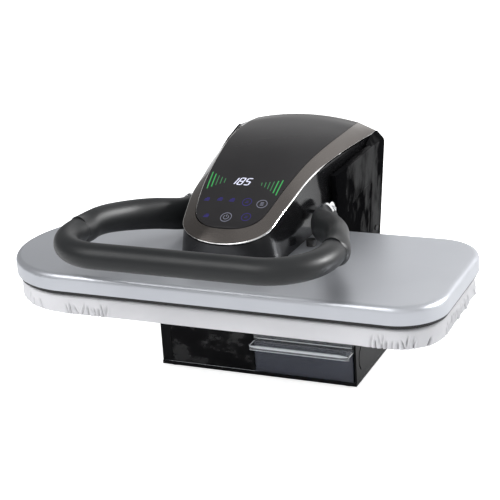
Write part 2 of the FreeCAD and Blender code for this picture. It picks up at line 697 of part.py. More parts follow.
def make_water_parts():
    tank_low = "foot_height + tray_height + fit"
    width = "base_width / 2 - shell_wall - fit - tank_left - 2"
    depth = "tank_depth"
    outer = box("tank_block", "tank_left", "base_front - 1", tank_low, width, depth, "tank_height")
    room = box("tank_room", "tank_left + tank_wall", "base_front - 1 + tank_wall", tank_low + " + tank_wall",
               width + " - 2 * tank_wall", depth + " - 2 * tank_wall", "tank_height")
    port = rod("tank_port", "z", "tank_left + 75", "base_front + tank_depth - 24", 0, 7.0, 40)
    node(cut("water_tank", outer, room, port), "water_tank")

    lid_low = tank_low + " + tank_height"
    plate = box("lid_plate", "tank_left", "base_front - 1", lid_low, width, depth, "lid_thick")
    ledge = box("lid_ledge", "tank_left + ledge_start", "base_front - lip_reach", lid_low,
                width + " + 2 - ledge_start",
                "lip_reach - 1", "lid_thick")
    curl = box("lid_curl", "tank_left + ledge_start", "base_front - lip_reach", lid_low + " - 4",
               width + " + 2 - ledge_start",
               "2.4", "6")
    stop = box("lid_rib", "tank_left", "base_front - 1", lid_low, width, "3", "lid_thick + 12")
    fill = rod("lid_fill", "z", "tank_left + 75", "base_front + 70", lid_low, 16.0, 40)
    node(cut("tank_lid", fused("lid_parts", plate, ledge, curl, stop), fill), "tank_lid")

    cap = rod("fill_cap_disc", "z", "tank_left + 75", "base_front + 70", lid_low + " + 0.4", 15.7,
              "lid_thick + 2")
    grip = box("fill_cap_grip", "tank_left + 65", "base_front + 68", lid_low + " + lid_thick", 20, 4, 9)
    node(fused("fill_cap_parts", cap, grip), "fill_cap")

    valve = rod("valve_disc", "z", "tank_left + 75", "base_front + tank_depth - 24",
                tank_low + " + 0.2", 6.8, 12)
    rim = rod("valve_rim", "z", "tank_left + 75", "base_front + tank_depth - 24",
              tank_low + " + tank_wall + 0.2", 10.0, 6)
    node(fused("tank_valve_parts", valve, rim), "tank_valve")

    rails = []
    for word, x in (("left", "tank_left + 14"), ("right", "tank_left + 118")):
        rails.append(box("tank_rail_" + word, x, "base_front + 8", "foot_height + shell_wall", 12,
                         "tank_depth - 4", "tray_height - shell_wall"))
    node(group("tank_rails", rails), "tank_rails")

    block = box("pump_block", -128, 60, "foot_height + shell_wall + sheet_steel", 56, 70, 44)
    motor = rod("pump_motor", "y", -100, 129, floor_z + s.sheet_steel + 24, 19.0, 34)
    nozzle = rod("pump_nozzle", "y", -100, 46, floor_z + s.sheet_steel + 30, 5.0, 16)
    node(fused("pump_parts", block, motor, nozzle), "steam_pump")
    node(box("power_board", -62, 30, "foot_height + shell_wall + sheet_steel", 50, 110, 30), "power_board")

    case = box("inlet_case", -139.5, "base_back - 22", 40.5, 27, 23, 19)
    socket = box("inlet_socket", -137, "base_back - 12", 42.5, 22, 16, 14)
    pins = [box("inlet_pin_%d" % i, x, "base_back - 13", 45.5 + up, 2, 9, 4)
            for i, (x, up) in enumerate(((-135, 0), (-119, 0), (-127, 4)))]
    node(fused("power_inlet_parts", cut("inlet_shell", case, socket), *pins), "power_inlet")

    knob = rod("valve_knob_disc", "y", -60, "column_back - shell_wall - 2", 170, 8.4, "shell_wall + 2")
    stem = rod("valve_knob_stem", "y", -60, "column_back - shell_wall - 14", 170, 5.0, 14)
    node(fused("steam_outlet_parts", knob, stem), "steam_union")


make_column()
make_water_parts()


# The pressing half: cover, insulator, heated plate and what it carries.

rim_z = s.cloth_top + s.gap_height
SPRINGS = [(x, y) for x in (-44.0, 44.0) for y in (-34.0, 30.0)]


def make_press_plate():
    sole_low = "cloth_top + soft_gap"
    sole = body("soleplate")
    layer(sole, "sole_plate", s.sole_inset, sole_low, "sole_thick")
    doc.recompute()
    holes = sketch(sole, "steam_holes_sketch", "XY_Plane", sole_low)
    for i in range(13):
        for j in range(4):
            x = (i - 6) * 40.0 + (10.0 if j % 2 else -10.0)
            y = s.plate_y + (j - 1.5) * 46.0
            holes.addGeometry(Part.Circle(Vector(x, y, 0), Vector(0, 0, 1), s.steam_hole / 2), False)
    pocket(sole, "steam_holes", holes, 4, reverse=True)
    node(sole, "soleplate")

    tray = body("plate_insulator")
    layer(tray, "insulator_ring", s.tray_inset, "cloth_top + 1.5", 13)
    doc.recompute()
    layer(tray, "insulator_room", s.sole_inset - s.fit, "cloth_top + 1", 12, cutting=True)
    doc.recompute()
    layer(tray, "insulator_mouth", s.sole_inset + 30, "cloth_top + 10", 8, cutting=True)
    node(tray, "plate_insulator")

    cover = body("plate_cover")
    block = layer(cover, "cover_block", 0.0, "cloth_top + gap_height", "cover_height")
    doc.recompute()
    edge = round_edges(cover, "cover_rounding", block, flat_edges(block.Shape, cover_top), "cover_edge")
    doc.recompute()
    layer(cover, "cover_room", s.cover_wall, "cloth_top + gap_height - 1",
          "cover_height + 1 - cover_wall - 5", cutting=True)
    doc.recompute()
    layer(cover, "cover_ceiling", s.cover_wall + s.cover_edge - 3, "cloth_top + gap_height",
          "cover_height - cover_wall", cutting=True)
    doc.recompute()
    holes = sketch(cover, "cover_holes_sketch", "XY_Plane", "cloth_top + gap_height")
    for x, y in SPRINGS:
        holes.addGeometry(Part.Circle(Vector(x, y, 0), Vector(0, 0, 1), s.spring_radius + 5), False)
    pocket(cover, "cover_holes", holes, "cover_height + 1", reverse=True)
    node(cover, "plate_cover")

    heater_z = s.cloth_top + s.soft_gap + s.sole_thick + 3.3
    radius = 3.3
    half = s.plate_width / 2 - 75
    front = s.plate_y - 60
    back = s.plate_y + 60
    turn = 45.0
    corners = [Vector(40, back, heater_z), Vector(half, back, heater_z), Vector(half, front, heater_z),
               Vector(-half, front, heater_z), Vector(-half, back, heater_z), Vector(-40, back, heater_z)]
    node(shape("heating_element", round_tube(corners, turn, radius)), "heating_element")

    low = s.cloth_top + s.soft_gap + s.sole_thick
    node(group("thermostats", [rod("thermostat_1", "z", 120, "plate_y", low, 12.0, 9),
                               rod("thermostat_2", "z", -120, "plate_y", low, 9.0, 8)]), "thermostats")

    carrier = box("carrier_plate", -90, -70, rim_z + 8, 180, 120, 3)
    legs = [box("carrier_leg_%d" % i, x, y, low, 12, 12, rim_z + 8 - low)
            for i, (x, y) in enumerate(((-84, -64), (72, -64), (-84, 26), (72, 26)))]
    node(fused("plate_carrier_parts", carrier, *legs), "plate_carrier")

    springs = []
    bolts = []
    spring_low = rim_z + 11
    foot_low = cover_top + 6
    for i, (x, y) in enumerate(SPRINGS):
        wire = s.spring_wire
        spring = coil(Vector(x, y, spring_low + wire / 2 + 0.1), Vector(0, 0, 1), Vector(1, 0, 0),
                      s.spring_radius, wire, foot_low - spring_low - wire - 0.2, 3)
        springs.append(shape("pressure_spring_%d" % i, spring))
        stem = rod("bolt_stem_%d" % i, "z", x, y, spring_low, 4.0, foot_low - spring_low + 10)
        head = rod("bolt_head_%d" % i, "z", x, y, foot_low + 3.2, 7.0, 5)
        bolts.append(fused("spring_bolt_%d" % i, stem, head))
    node(group("pressure_springs", springs), "pressure_springs")
    node(group("spring_bolts", bolts), "spring_bolts")


def round_path(corners, radius):
    """Straight runs joined by tangent arcs of one radius."""
    edges = []
    last = corners[0]
    for i in range(1, len(corners) - 1):
        a, b, c = corners[i - 1], corners[i], corners[i + 1]
        to_a = (a - b).normalize()
        to_c = (c - b).normalize()
        half = to_a.getAngle(to_c) / 2
        leg = radius / math.tan(half)
        start = b + to_a * leg
        end = b + to_c * leg
        bisector = (to_a + to_c).normalize()
        middle = b + bisector * (radius / math.sin(half) - radius)
        edges.append(Part.makeLine(last, start))
        edges.append(Part.Arc(start, middle, end).toShape())
        last = end
    edges.append(Part.makeLine(last, corners[-1]))
    return Part.Wire(edges)


def round_tube(corners, turn, radius):
    path = round_path(corners, turn)
    way = (corners[1] - corners[0]).normalize()
    ring = Part.Wire([Part.Circle(corners[0], way, radius).toShape()])
    return path.makePipeShell([ring], True, False)


make_press_plate()


# The arm of the head: two plates, a foot over the plate, webs and bushes.

foot_z = cover_top + 6


def make_arm():
    boss = boss_outline((s.hinge_y, s.hinge_z), 16.0, -70, 100)
    outline = boss + [(122, 303), (62, 288), (-8, 264), (-48, 238), (-48, foot_z), (84, foot_z)]
    plates = []
    for word, side in SIDES:
        plates.append(side_plate("arm_plate_" + word, outline, "arm_x", "arm_sheet", side))
    foot = box("arm_foot", "-arm_x", -48, foot_z, "2 * arm_x", 132, "arm_sheet")
    web = box("arm_web", "-arm_x", 120, 262, "2 * arm_x", 50, "arm_sheet")
    brace = box("arm_brace", "-arm_x", 20, foot_z, "2 * arm_x", "arm_sheet", 24)
    eye = rod("arm_eye", "x", "-arm_x - 20", "hinge_y", "hinge_z", "hinge_radius + 3", "2 * arm_x + 40")
    shaft = rod("arm_shaft_eye", "x", "-arm_x - 20", "pivot_y", "pivot_z", "pivot_radius + run_gap",
                "2 * arm_x + 40")
    holes = [rod("foot_hole_%d" % i, "z", x, y, foot_z - 2, 4.2, 10) for i, (x, y) in enumerate(SPRINGS)]
    slot = box("cam_slot", -16, 56, foot_z - 2, 32, 30, 8)
    node(cut("arm_frame", fused("arm_parts", foot, web, brace, *plates), eye, shaft, slot, *holes),
         "arm_frame")

    bushes = []
    for word, side in SIDES:
        x = "%d * (arm_x + arm_sheet / 2) - 4" % side
        ring = rod("bush_" + word, "x", x, "hinge_y", "hinge_z", "hinge_radius + 3", 8)
        hole = rod("bush_hole_" + word, "x", x + " - 1", "hinge_y", "hinge_z", "hinge_radius + run_gap", 10)
        bushes.append(cut("bush_ring_" + word, ring, hole))
    node(group("hinge_bushes", bushes), "hinge_bushes")

    plunger = rod("plunger", "z", 0, "pivot_y", cover_top + 0.5, 9.0, "pivot_z - 18.3 - %f" % (cover_top + 0.5))
    node(plunger, "pressure_plunger")

    tilt = 20.0
    display = Part.makeBox(76, 60, 6, Vector(-38, 0, -6))
    node(placed("display_module", display, -22, 276.4, tilt), "display_module")
    board = Part.makeBox(92, 84, 1.6, Vector(-46, -8, -12))
    node(placed("control_board", board, -22, 276.4, tilt), "control_board")
    standoffs = [Part.makeCylinder(3, 4, Vector(x, y, -10.2)) for x in (-34, 34) for y in (4, 56)]
    node(placed("board_standoffs", Part.makeCompound(standoffs), -22, 276.4, tilt), "board_standoffs")


def placed(name, solid, y, z, tilt):
    item = doc.addObject("Part::Feature", name)
    item.Shape = solid
    item.Placement = Placement(Vector(0, y, z), Rotation(Vector(1, 0, 0), tilt))
    return item


make_arm()


# The loop handle: a steel tube, a soft grip round the front, an arm at each
# side that bends down to the head, and the levers, shaft and cam that turn
# with it. Seen from above, the right half runs along the front bar, round the
# front bend, along the arm's sweep towards the head and straight to the back.

pivot = Vector(0, s.pivot_y, s.pivot_z)
HANDLE_TRAVEL = 30.0
SEAM_TURN = 4.0
TUBE_TURN = 24.0
SWEEP_TURN = 45.0
bend_y = s.handle_front + s.handle_bend
sweep_x = s.handle_half - s.arm_sweep
sweep_end = Vector(sweep_x + s.arm_sweep * math.cos(math.radians(SWEEP_TURN)),
                   bend_y + s.arm_sweep * math.sin(math.radians(SWEEP_TURN)), s.handle_z)
back_bend = (sweep_end.x - s.arm_end_x) / (1 - math.cos(math.radians(SWEEP_TURN)))
arm_straight_y = sweep_end.y + back_bend * math.sin(math.radians(SWEEP_TURN))
ARM_REACH = 24.0


def sweep_point(turn):
    """A point of the right arm's sweep and its direction, the front bend's end at zero."""
    angle = math.radians(turn)
    point = Vector(sweep_x + s.arm_sweep * math.cos(angle), bend_y + s.arm_sweep * math.sin(angle), s.handle_z)
    return point, Vector(-math.sin(angle), math.cos(angle), 0)


def back_point(turn):
    """A point of the right arm's last bend, turned back to run straight at zero."""
    angle = math.radians(turn)
    x = s.arm_end_x + back_bend * (1 - math.cos(angle))
    y = arm_straight_y - back_bend * math.sin(angle)
    return Vector(x, y, s.handle_z), Vector(-math.sin(angle), math.cos(angle), 0)


def mirrored(point, side):
    return Vector(side * point.x, point.y, point.z)


def loop_path(turn):
    """The front of the loop, from the left arm to the right one, level."""
    edges = []
    for side in (-1, 1):
        end = sweep_point(turn)[0]
        middle = sweep_point(turn / 2)[0]
        start = sweep_point(0)[0]
        corner = s.handle_bend * math.sqrt(0.5)
        bend = Vector(s.handle_half - s.handle_bend + corner, bend_y - corner, s.handle_z)
        bar = Vector(s.handle_half - s.handle_bend, s.handle_front, s.handle_z)
        points = [mirrored(p, side) for p in (end, middle, start, bend, bar)]
        edges.append(Part.Arc(*points[:3]).toShape())
        edges.append(Part.Arc(*points[2:]).toShape())
    left_end = Vector(-s.handle_half + s.handle_bend, s.handle_front, s.handle_z)
    edges.append(Part.makeLine(left_end, mirrored(left_end, -1)))
    return Part.Wire(Part.__sortEdges__(edges))


def loop_tube(turn, radius):
    """A round solid along the front of the loop."""
    start, way = sweep_point(turn)
    ring = Part.Circle(mirrored(start, -1), mirrored(way, -1), radius)
    return loop_path(turn).makePipeShell([Part.Wire([ring.toShape()])], True, False)


def oval(centre, way, wide, tall):
    """An upright oval across a level direction, taller than wide."""
    level = Vector(-way.y, way.x, 0).normalize()
    ellipse = Part.Ellipse(centre + Vector(0, 0, tall), centre + level * wide, centre)
    return Part.Wire([ellipse.toShape()])


def arm_sections(side):
    """Ovals of an arm: round like the grip in front, tall and narrow behind."""
    stations = [sweep_point(turn) for turn in (SEAM_TURN, 14.0, 26.0, 37.0, SWEEP_TURN)]
    stations += [back_point(turn) for turn in (22.0, 0.0)]
    end, way = stations[-1]
    stations.append((end + way * ARM_REACH, way))
    first = s.grip_radius - 0.4
    growth = (0.4, 0.48, 0.62, 0.8, 0.9, 1.0, 1.0, 1.0)
    fall = (0.0, 0.02, 0.14, 0.34, 0.5, 0.8, 1.0, 1.0)
    rings = []
    for (point, way), grow, drop in zip(stations, growth, fall):
        centre = mirrored(point, side)
        centre.z -= (s.handle_z - s.pivot_z) * drop
        wide = first + (s.arm_wide - first) * grow
        tall = first + (s.arm_tall - first) * grow
        rings.append(oval(centre, mirrored(way, side), wide, tall))
    return rings


def make_handle():
    outer = loop_tube(TUBE_TURN, s.core_radius)
    inner = loop_tube(TUBE_TURN, s.core_radius - s.core_wall)
    node(shape("handle_tube", outer.cut(inner)), "handle_tube")
    grip = loop_tube(SEAM_TURN, s.grip_radius).cut(loop_tube(SEAM_TURN, s.core_radius + s.soft_gap))
    node(shape("handle_grip", grip), "handle_grip")

    z = s.pivot_z
    bore = loop_tube(TUBE_TURN + 1, s.core_radius + 0.1)
    lever_start = arm_straight_y - 20
    low_back = Part.makeBox(400, 80, 120, Vector(-200, 0, -60))
    low_back.rotate(Vector(), Vector(1, 0, 0), HANDLE_TRAVEL)
    low_back.translate(pivot + Vector(0, -14 * math.cos(math.radians(HANDLE_TRAVEL)),
                                      -14 * math.sin(math.radians(HANDLE_TRAVEL))))
    tall = 13.0
    for word, side in SIDES:
        arm = Part.makeLoft(arm_sections(side), True, False)
        middle = side * (s.lever_x + s.lever_sheet / 2)
        slot_wide = s.lever_sheet + 2 * s.fit
        slot = Part.makeBox(slot_wide, 80, 2 * (tall + s.fit),
                            Vector(middle - slot_wide / 2, lever_start - s.fit, z - tall - s.fit))
        node(shape("handle_arm_" + word, arm.cut(bore).cut(slot).cut(low_back)), "handle_arm_" + word)

        flat = [(lever_start, z - tall), (s.pivot_y - 14, z - tall)]
        flat += boss_outline((s.pivot_y, z), 15.0, -100, 100, 12)
        flat += [(s.pivot_y - 14, z + tall), (lever_start, z + tall)]
        plate = Part.makePolygon([Vector(side * s.lever_x, y, up) for y, up in flat + flat[:1]])
        lever = Part.Face(plate).extrude(Vector(side * s.lever_sheet, 0, 0))
        eye = Part.makeCylinder(s.pivot_radius + 0.02, 20, Vector(middle - 10, s.pivot_y, z), Vector(1, 0, 0))
        node(shape("lever_plate_" + word, lever.cut(eye)), "lever_plate_" + word)

    straps = []
    strap_y = arm_straight_y + 1
    for word, side in SIDES:
        centre = Vector(side * s.arm_end_x, strap_y, z)
        way = Vector(0, 1, 0)
        outside = Part.Face(oval(centre, way, s.arm_wide + 1.8, s.arm_tall + 1.8)).extrude(way * 6)
        inside = Part.Face(oval(centre, way, s.arm_wide + s.fit, s.arm_tall + s.fit)).extrude(way * 6)
        crown = Part.makeBox(60, 20, 30, centre + Vector(-30, -5, s.arm_tall - 9))
        straps.append(outside.cut(inside).common(crown))
    node(shape("arm_clamps", Part.makeCompound(straps)), "arm_clamps")

    node(rod("handle_shaft", "x", "-lever_x - 8", "pivot_y", "pivot_z", "pivot_radius",
             "2 * (lever_x + 8)"), "handle_shaft")
    nuts = []
    for word, side in SIDES:
        x = "%d * (lever_x + lever_sheet + 2.2) - 1.7" % side
        nut = doc.addObject("Part::Prism", "nut_" + word)
        nut.Polygon = 6
        nut.Placement = Placement(Vector(), TURNS["x"])
        for prop, text in (("Placement.Base.x", x), ("Placement.Base.y", "pivot_y"),
                           ("Placement.Base.z", "pivot_z"), ("Circumradius", "pivot_radius + 4"),
                           ("Height", "3.4")):
            nut.setExpression(prop, bound(text))
        hole = rod("nut_hole_" + word, "x", x + " - 1", "pivot_y", "pivot_z", "pivot_radius + 0.02", 6)
        nuts.append(cut("nut_ring_" + word, nut, hole))
    node(group("shaft_nuts", nuts), "shaft_nuts")

    disc = rod("cam_disc", "x", -10, "pivot_y", "pivot_z - 4", 14.0, 20)
    eye = rod("cam_eye", "x", -12, "pivot_y", "pivot_z", "pivot_radius + 0.02", 24)
    node(cut("pressure_cam", disc, eye), "pressure_cam")

    bumpers = [rod("bumper_" + word, "z", "%d * 90" % side, 12, cover_top, 6.5, 9) for word, side in SIDES]
    node(group("handle_bumpers", bumpers), "handle_bumpers")


make_handle()


def make_screws():
    cheek = []
    for word, side in SIDES:
        for y in (s.column_front + 16, s.column_back - 16):
            head = Part.makeCylinder(4.0, 1.2, Vector(side * s.cheek_outer, y, 158), Vector(side, 0, 0))
            cheek.append(lean(head, side))
    tray = []
    for word, side in SIDES:
        for i, y in enumerate((60, 190)):
            tray.append(rod("tray_screw_%s_%d" % (word, i), "z", "%d * 120" % side, y,
                            "foot_height - 1.2", 4.0, 1.2))
    node(group("tray_screws", tray), "tray_screws")
    node(shape("cheek_screws", Part.makeCompound(cheek)), "cheek_screws")


make_screws()


def check_and_write():
    doc.recompute()
    for item in doc.Objects:
        if "Invalid" in item.State or "Error" in item.State:
            raise RuntimeError("failed object: %s %s" % (item.Name, item.State))
    for item in nodes:
        if item.Shape.isNull() or not item.Shape.isValid() or not item.Shape.Solids:
            raise RuntimeError("bad shape: " + item.Label)
    os.makedirs("parts", exist_ok=True)
    for item in nodes:
        item.Shape.exportStep("parts/%s.step" % item.Label)
        print(item.Label, len(item.Shape.Solids), round(item.Shape.Volume))


check_and_write()
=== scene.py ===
import json
import math
import random

import bmesh
import bpy
from mathutils import Matrix, Vector
from mathutils.bvhtree import BVHTree


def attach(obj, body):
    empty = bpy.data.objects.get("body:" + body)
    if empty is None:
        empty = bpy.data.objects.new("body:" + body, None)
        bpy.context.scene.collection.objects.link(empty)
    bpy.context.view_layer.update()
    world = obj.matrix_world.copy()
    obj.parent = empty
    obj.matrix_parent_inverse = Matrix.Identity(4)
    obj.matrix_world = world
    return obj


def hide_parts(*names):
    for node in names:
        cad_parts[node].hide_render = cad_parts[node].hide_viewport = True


# The looks of a steam ironing press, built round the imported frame. Metres, +Z up, +Y to the
# back. Sizes named in capitals are in millimetres unless they say otherwise.

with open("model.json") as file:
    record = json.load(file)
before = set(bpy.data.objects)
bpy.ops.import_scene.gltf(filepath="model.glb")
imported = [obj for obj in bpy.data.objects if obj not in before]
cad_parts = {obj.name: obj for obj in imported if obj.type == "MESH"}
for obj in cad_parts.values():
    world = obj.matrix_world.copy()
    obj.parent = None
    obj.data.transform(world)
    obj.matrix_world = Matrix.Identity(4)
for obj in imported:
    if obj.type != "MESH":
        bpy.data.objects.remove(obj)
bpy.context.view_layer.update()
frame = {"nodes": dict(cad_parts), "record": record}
nodes = frame["nodes"]

MM = 0.001


# Camera, in metres

CAMERA_PLACE = Vector((0.7946, -1.7317, 0.8872))
CAMERA_YAW = math.radians(24.5)
CAMERA_PITCH = math.radians(20.0)
CAMERA_ROLL = math.radians(-3.8)
CAMERA_LENS = 105.1
SENSOR_WIDTH = 36.0
CAMERA_SHIFT = (-0.0032, 0.0026)
CAMERA_CLIP = (0.05, 50.0)


def make_camera():
    data = bpy.data.cameras.new("camera")
    data.lens = CAMERA_LENS
    data.sensor_width = SENSOR_WIDTH
    data.shift_x, data.shift_y = CAMERA_SHIFT
    data.clip_start, data.clip_end = CAMERA_CLIP
    camera = bpy.data.objects.new("camera", data)
    back = Vector((math.sin(CAMERA_YAW) * math.cos(CAMERA_PITCH),
                   -math.cos(CAMERA_YAW) * math.cos(CAMERA_PITCH), math.sin(CAMERA_PITCH)))
    right = Vector((math.cos(CAMERA_YAW), math.sin(CAMERA_YAW), 0.0))
    up = back.cross(right)
    cosine, sine = math.cos(CAMERA_ROLL), math.sin(CAMERA_ROLL)
    rolled_right = right * cosine + up * sine
    rolled_up = up * cosine - right * sine
    turn = Matrix((rolled_right, rolled_up, back)).transposed().to_4x4()
    camera.matrix_world = Matrix.Translation(CAMERA_PLACE) @ turn
    bpy.context.scene.collection.objects.link(camera)
    bpy.context.scene.camera = camera


# Materials

EDGE_SAMPLES = 6
PATCH_FROM, PATCH_TO = 0.48, 0.60


def link(tree, a, b):
    tree.links.new(a, b)


def object_place(tree):
    return tree.nodes.new("ShaderNodeTexCoord").outputs["Object"]


def noise(tree, place, scale, detail=3.0, roughness=0.5, stretch=None):
    """Noise of the given scale per metre, stretched along an axis if stretch is given."""
    if stretch:
        mapping = tree.nodes.new("ShaderNodeMapping")
        mapping.inputs["Scale"].default_value = stretch
        link(tree, place, mapping.inputs["Vector"])
        place = mapping.outputs["Vector"]
    item = tree.nodes.new("ShaderNodeTexNoise")
    item.inputs["Scale"].default_value = scale
    item.inputs["Detail"].default_value = detail
    item.inputs["Roughness"].default_value = roughness
    link(tree, place, item.inputs["Vector"])
    return item.outputs["Fac"]


def between(tree, value, low, high, start=0.3, end=0.7):
    item = tree.nodes.new("ShaderNodeMapRange")
    item.inputs["From Min"].default_value = start
    item.inputs["From Max"].default_value = end
    item.inputs["To Min"].default_value = low
    item.inputs["To Max"].default_value = high
    link(tree, value, item.inputs["Value"])
    return item.outputs["Result"]


def maths(tree, kind, a, b):
    """A Math node; a and b are sockets or numbers."""
    item = tree.nodes.new("ShaderNodeMath")
    item.operation = kind
    for i, value in enumerate((a, b)):
        if isinstance(value, (int, float)):
            item.inputs[i].default_value = value
        else:
            link(tree, value, item.inputs[i])
    return item.outputs["Value"]


def colours(tree, value, dark, light, start=0.35, end=0.65):
    ramp = tree.nodes.new("ShaderNodeValToRGB")
    ramp.color_ramp.elements[0].position = start
    ramp.color_ramp.elements[0].color = (*dark, 1.0)
    ramp.color_ramp.elements[1].position = end
    ramp.color_ramp.elements[1].color = (*light, 1.0)
    link(tree, value, ramp.inputs["Fac"])
    return ramp.outputs["Color"]


def bump(tree, height, depth, before=None):
    """A bump whose height runs from 0 to 1 times depth, in metres."""
    item = tree.nodes.new("ShaderNodeBump")
    item.inputs["Strength"].default_value = 1.0
    item.inputs["Distance"].default_value = depth
    link(tree, height, item.inputs["Height"])
    if before is not None:
        link(tree, before, item.inputs["Normal"])
    return item.outputs["Normal"]


def new_material(name, **sockets):
    """A Principled material; the keywords are its sockets' names with _ for a space."""
    item = bpy.data.materials.new(name)
    item.use_nodes = True
    shader = item.node_tree.nodes["Principled BSDF"]
    for key, value in sockets.items():
        shader.inputs[key.replace("_", " ")].default_value = value
    return item, item.node_tree, shader


def rounded_edges(tree, radius):
    """A normal that rounds sharp edges by the radius, in metres."""
    item = tree.nodes.new("ShaderNodeBevel")
    item.samples = EDGE_SAMPLES
    item.inputs["Radius"].default_value = radius
    return item.outputs["Normal"]


def finish(name, dark, light, rough, blotch=9.0, grain=None, stretch=None, smear=14.0,
           wave=None, edge=None, patches=None, **sockets):
    """Two close colours in soft blotches and uneven gloss, rough being its least and most.
    Grain adds a fine bump and wave a broad one, both given as scale and depth. Edge is a
    radius at which sharp edges catch the light as if rounded. Patches make the shine come
    and go: scale, least and most shine, and stretch."""
    item, tree, shader = new_material(name, **sockets)
    place = object_place(tree)
    link(tree, colours(tree, noise(tree, place, blotch), dark, light), shader.inputs["Base Color"])
    gloss = noise(tree, place, smear, detail=5.0, roughness=0.6, stretch=stretch)
    link(tree, between(tree, gloss, *rough), shader.inputs["Roughness"])
    if patches:
        scale, least, most, drawn = patches
        cloud = noise(tree, place, scale, detail=4.0, roughness=0.65, stretch=drawn)
        shine = between(tree, cloud, least, most, PATCH_FROM, PATCH_TO)
        link(tree, shine, shader.inputs["Specular IOR Level"])
    normal = rounded_edges(tree, edge) if edge else None
    if wave:
        scale, depth = wave
        normal = bump(tree, noise(tree, place, scale, detail=1.0), depth, normal)
    if grain:
        scale, depth = grain
        fine = noise(tree, place, scale, detail=2.0, stretch=stretch)
        normal = bump(tree, fine, depth, normal)
    if normal is not None:
        link(tree, normal, shader.inputs["Normal"])
    return item


def make_materials():
    m = {}
    m["cover_silver"] = finish("satin_silver", (0.50, 0.515, 0.55), (0.53, 0.545, 0.58),
                               (0.34, 0.40), blotch=5.0, Metallic=0.72)
    m["black_gloss"] = finish("black_gloss", (0.006, 0.006, 0.007), (0.010, 0.010, 0.011),
                              (0.05, 0.10), wave=(9.0, 0.0008), edge=0.0012,
                              Specular_IOR_Level=0.08)
    m["front_gloss"] = finish("front_gloss", (0.006, 0.006, 0.007), (0.010, 0.010, 0.011),
                              (0.05, 0.10), wave=(13.0, 0.0012), edge=0.0012,
                              patches=(22.0, 0.05, 0.42, (1.0, 1.0, 1.6)))
    m["column_gloss"] = finish("column_gloss", (0.004, 0.004, 0.0045), (0.007, 0.007, 0.0075),
                               (0.10, 0.18), wave=(7.0, 0.0009), edge=0.001,
                               patches=(16.0, 0.0, 0.07, (1.0, 1.0, 0.35)))
    m["skirt_gloss"] = finish("skirt_gloss", (0.011, 0.011, 0.012), (0.015, 0.015, 0.016),
                              (0.10, 0.16), wave=(9.0, 0.0006), IOR=1.36)
    m["black_matte"] = finish("black_matte", (0.012, 0.012, 0.013), (0.020, 0.020, 0.021),
                              (0.42, 0.55), grain=(1500.0, 0.00004), Specular_IOR_Level=0.35)
    m["bezel"] = make_bezel_material()
    m["panel"] = finish("dark_panel", (0.022, 0.021, 0.022), (0.027, 0.026, 0.027),
                        (0.10, 0.15), grain=(16.0, 0.00005), IOR=1.18)
    m["grip"] = finish("matte_grip", (0.012, 0.013, 0.014), (0.017, 0.018, 0.019),
                       (0.38, 0.46), grain=(1300.0, 0.00004), Specular_IOR_Level=0.34)
    m["rubber"] = finish("black_rubber", (0.012, 0.012, 0.012), (0.022, 0.022, 0.022),
                         (0.60, 0.75), grain=(1200.0, 0.00008))
    m["steel"] = finish("zinc_steel", (0.42, 0.43, 0.44), (0.52, 0.53, 0.54), (0.28, 0.42),
                        grain=(700.0, 0.00002), stretch=(1.0, 8.0, 8.0), Metallic=1.0)
    m["chrome"] = finish("chrome", (0.80, 0.81, 0.82), (0.86, 0.87, 0.88), (0.06, 0.12),
                         Metallic=1.0)
    # A near-white mirror metal for the hood's beads: a painted highlight on the band's lower edge
    # and the panel's left seam.
    m["trim"] = finish("hood_highlight_metal", (0.90, 0.89, 0.88), (0.95, 0.94, 0.93), (0.10, 0.16),
                       Metallic=1.0)
    m["brass"] = finish("bronze", (0.50, 0.36, 0.16), (0.60, 0.44, 0.20), (0.28, 0.40),
                        Metallic=1.0)
    m["cast_plate"] = finish("cast_plate", (0.34, 0.35, 0.36), (0.42, 0.43, 0.44), (0.32, 0.44),
                             grain=(500.0, 0.00006), Metallic=0.9)
    m["foam"] = finish("felt_pad", (0.44, 0.40, 0.30), (0.54, 0.50, 0.40), (0.90, 0.98),
                       grain=(900.0, 0.0004))
    m["electric"] = finish("circuit_green", (0.02, 0.09, 0.04), (0.03, 0.13, 0.06), (0.35, 0.5),
                           grain=(300.0, 0.0002))
    m["pump"] = finish("pump_grey", (0.06, 0.06, 0.065), (0.09, 0.09, 0.095), (0.45, 0.6),
                       grain=(800.0, 0.0001))
    m["tank_clear"] = finish("smoked_tank", (0.20, 0.22, 0.30), (0.24, 0.26, 0.34),
                             (0.04, 0.08), wave=(14.0, 0.0006), edge=0.001, IOR=1.49,
                             Transmission_Weight=0.8)
    m["lid_clear"] = finish("clear_lid", (0.88, 0.90, 0.92), (0.94, 0.96, 0.98),
                            (0.03, 0.06), wave=(30.0, 0.0003), edge=0.0012, IOR=1.49,
                            Transmission_Weight=0.95)
    m["slit"] = finish("slit_black", (0.001, 0.001, 0.001), (0.002, 0.002, 0.002),
                       (0.85, 0.95), Specular_IOR_Level=0.02)
    # Light grey with a faint glow: the painted highlight of the beads along the lid, tank and base
    # edges.
    m["lid_edge"] = finish("glowing_edge_highlight", (0.74, 0.76, 0.78), (0.84, 0.86, 0.88),
                           (0.15, 0.25), Emission_Color=(0.9, 0.95, 1.0, 1.0),
                           Emission_Strength=0.16)
    m["cloth"] = make_cloth_material()
    m["digits"] = make_glow_material("display_white", (0.80, 0.82, 1.0), 1.0)
    m["bars"] = make_glow_material("display_green", (0.08, 0.62, 0.16), 0.55)
    m["low_bars"] = make_glow_material("display_green_low", (0.10, 0.42, 0.16), 0.40)
    m["icons"] = make_glow_material("display_blue", (0.06, 0.045, 0.30), 0.45)
    m["rings"] = make_glow_material("display_ring", (0.36, 0.37, 0.48), 0.45)
    return m


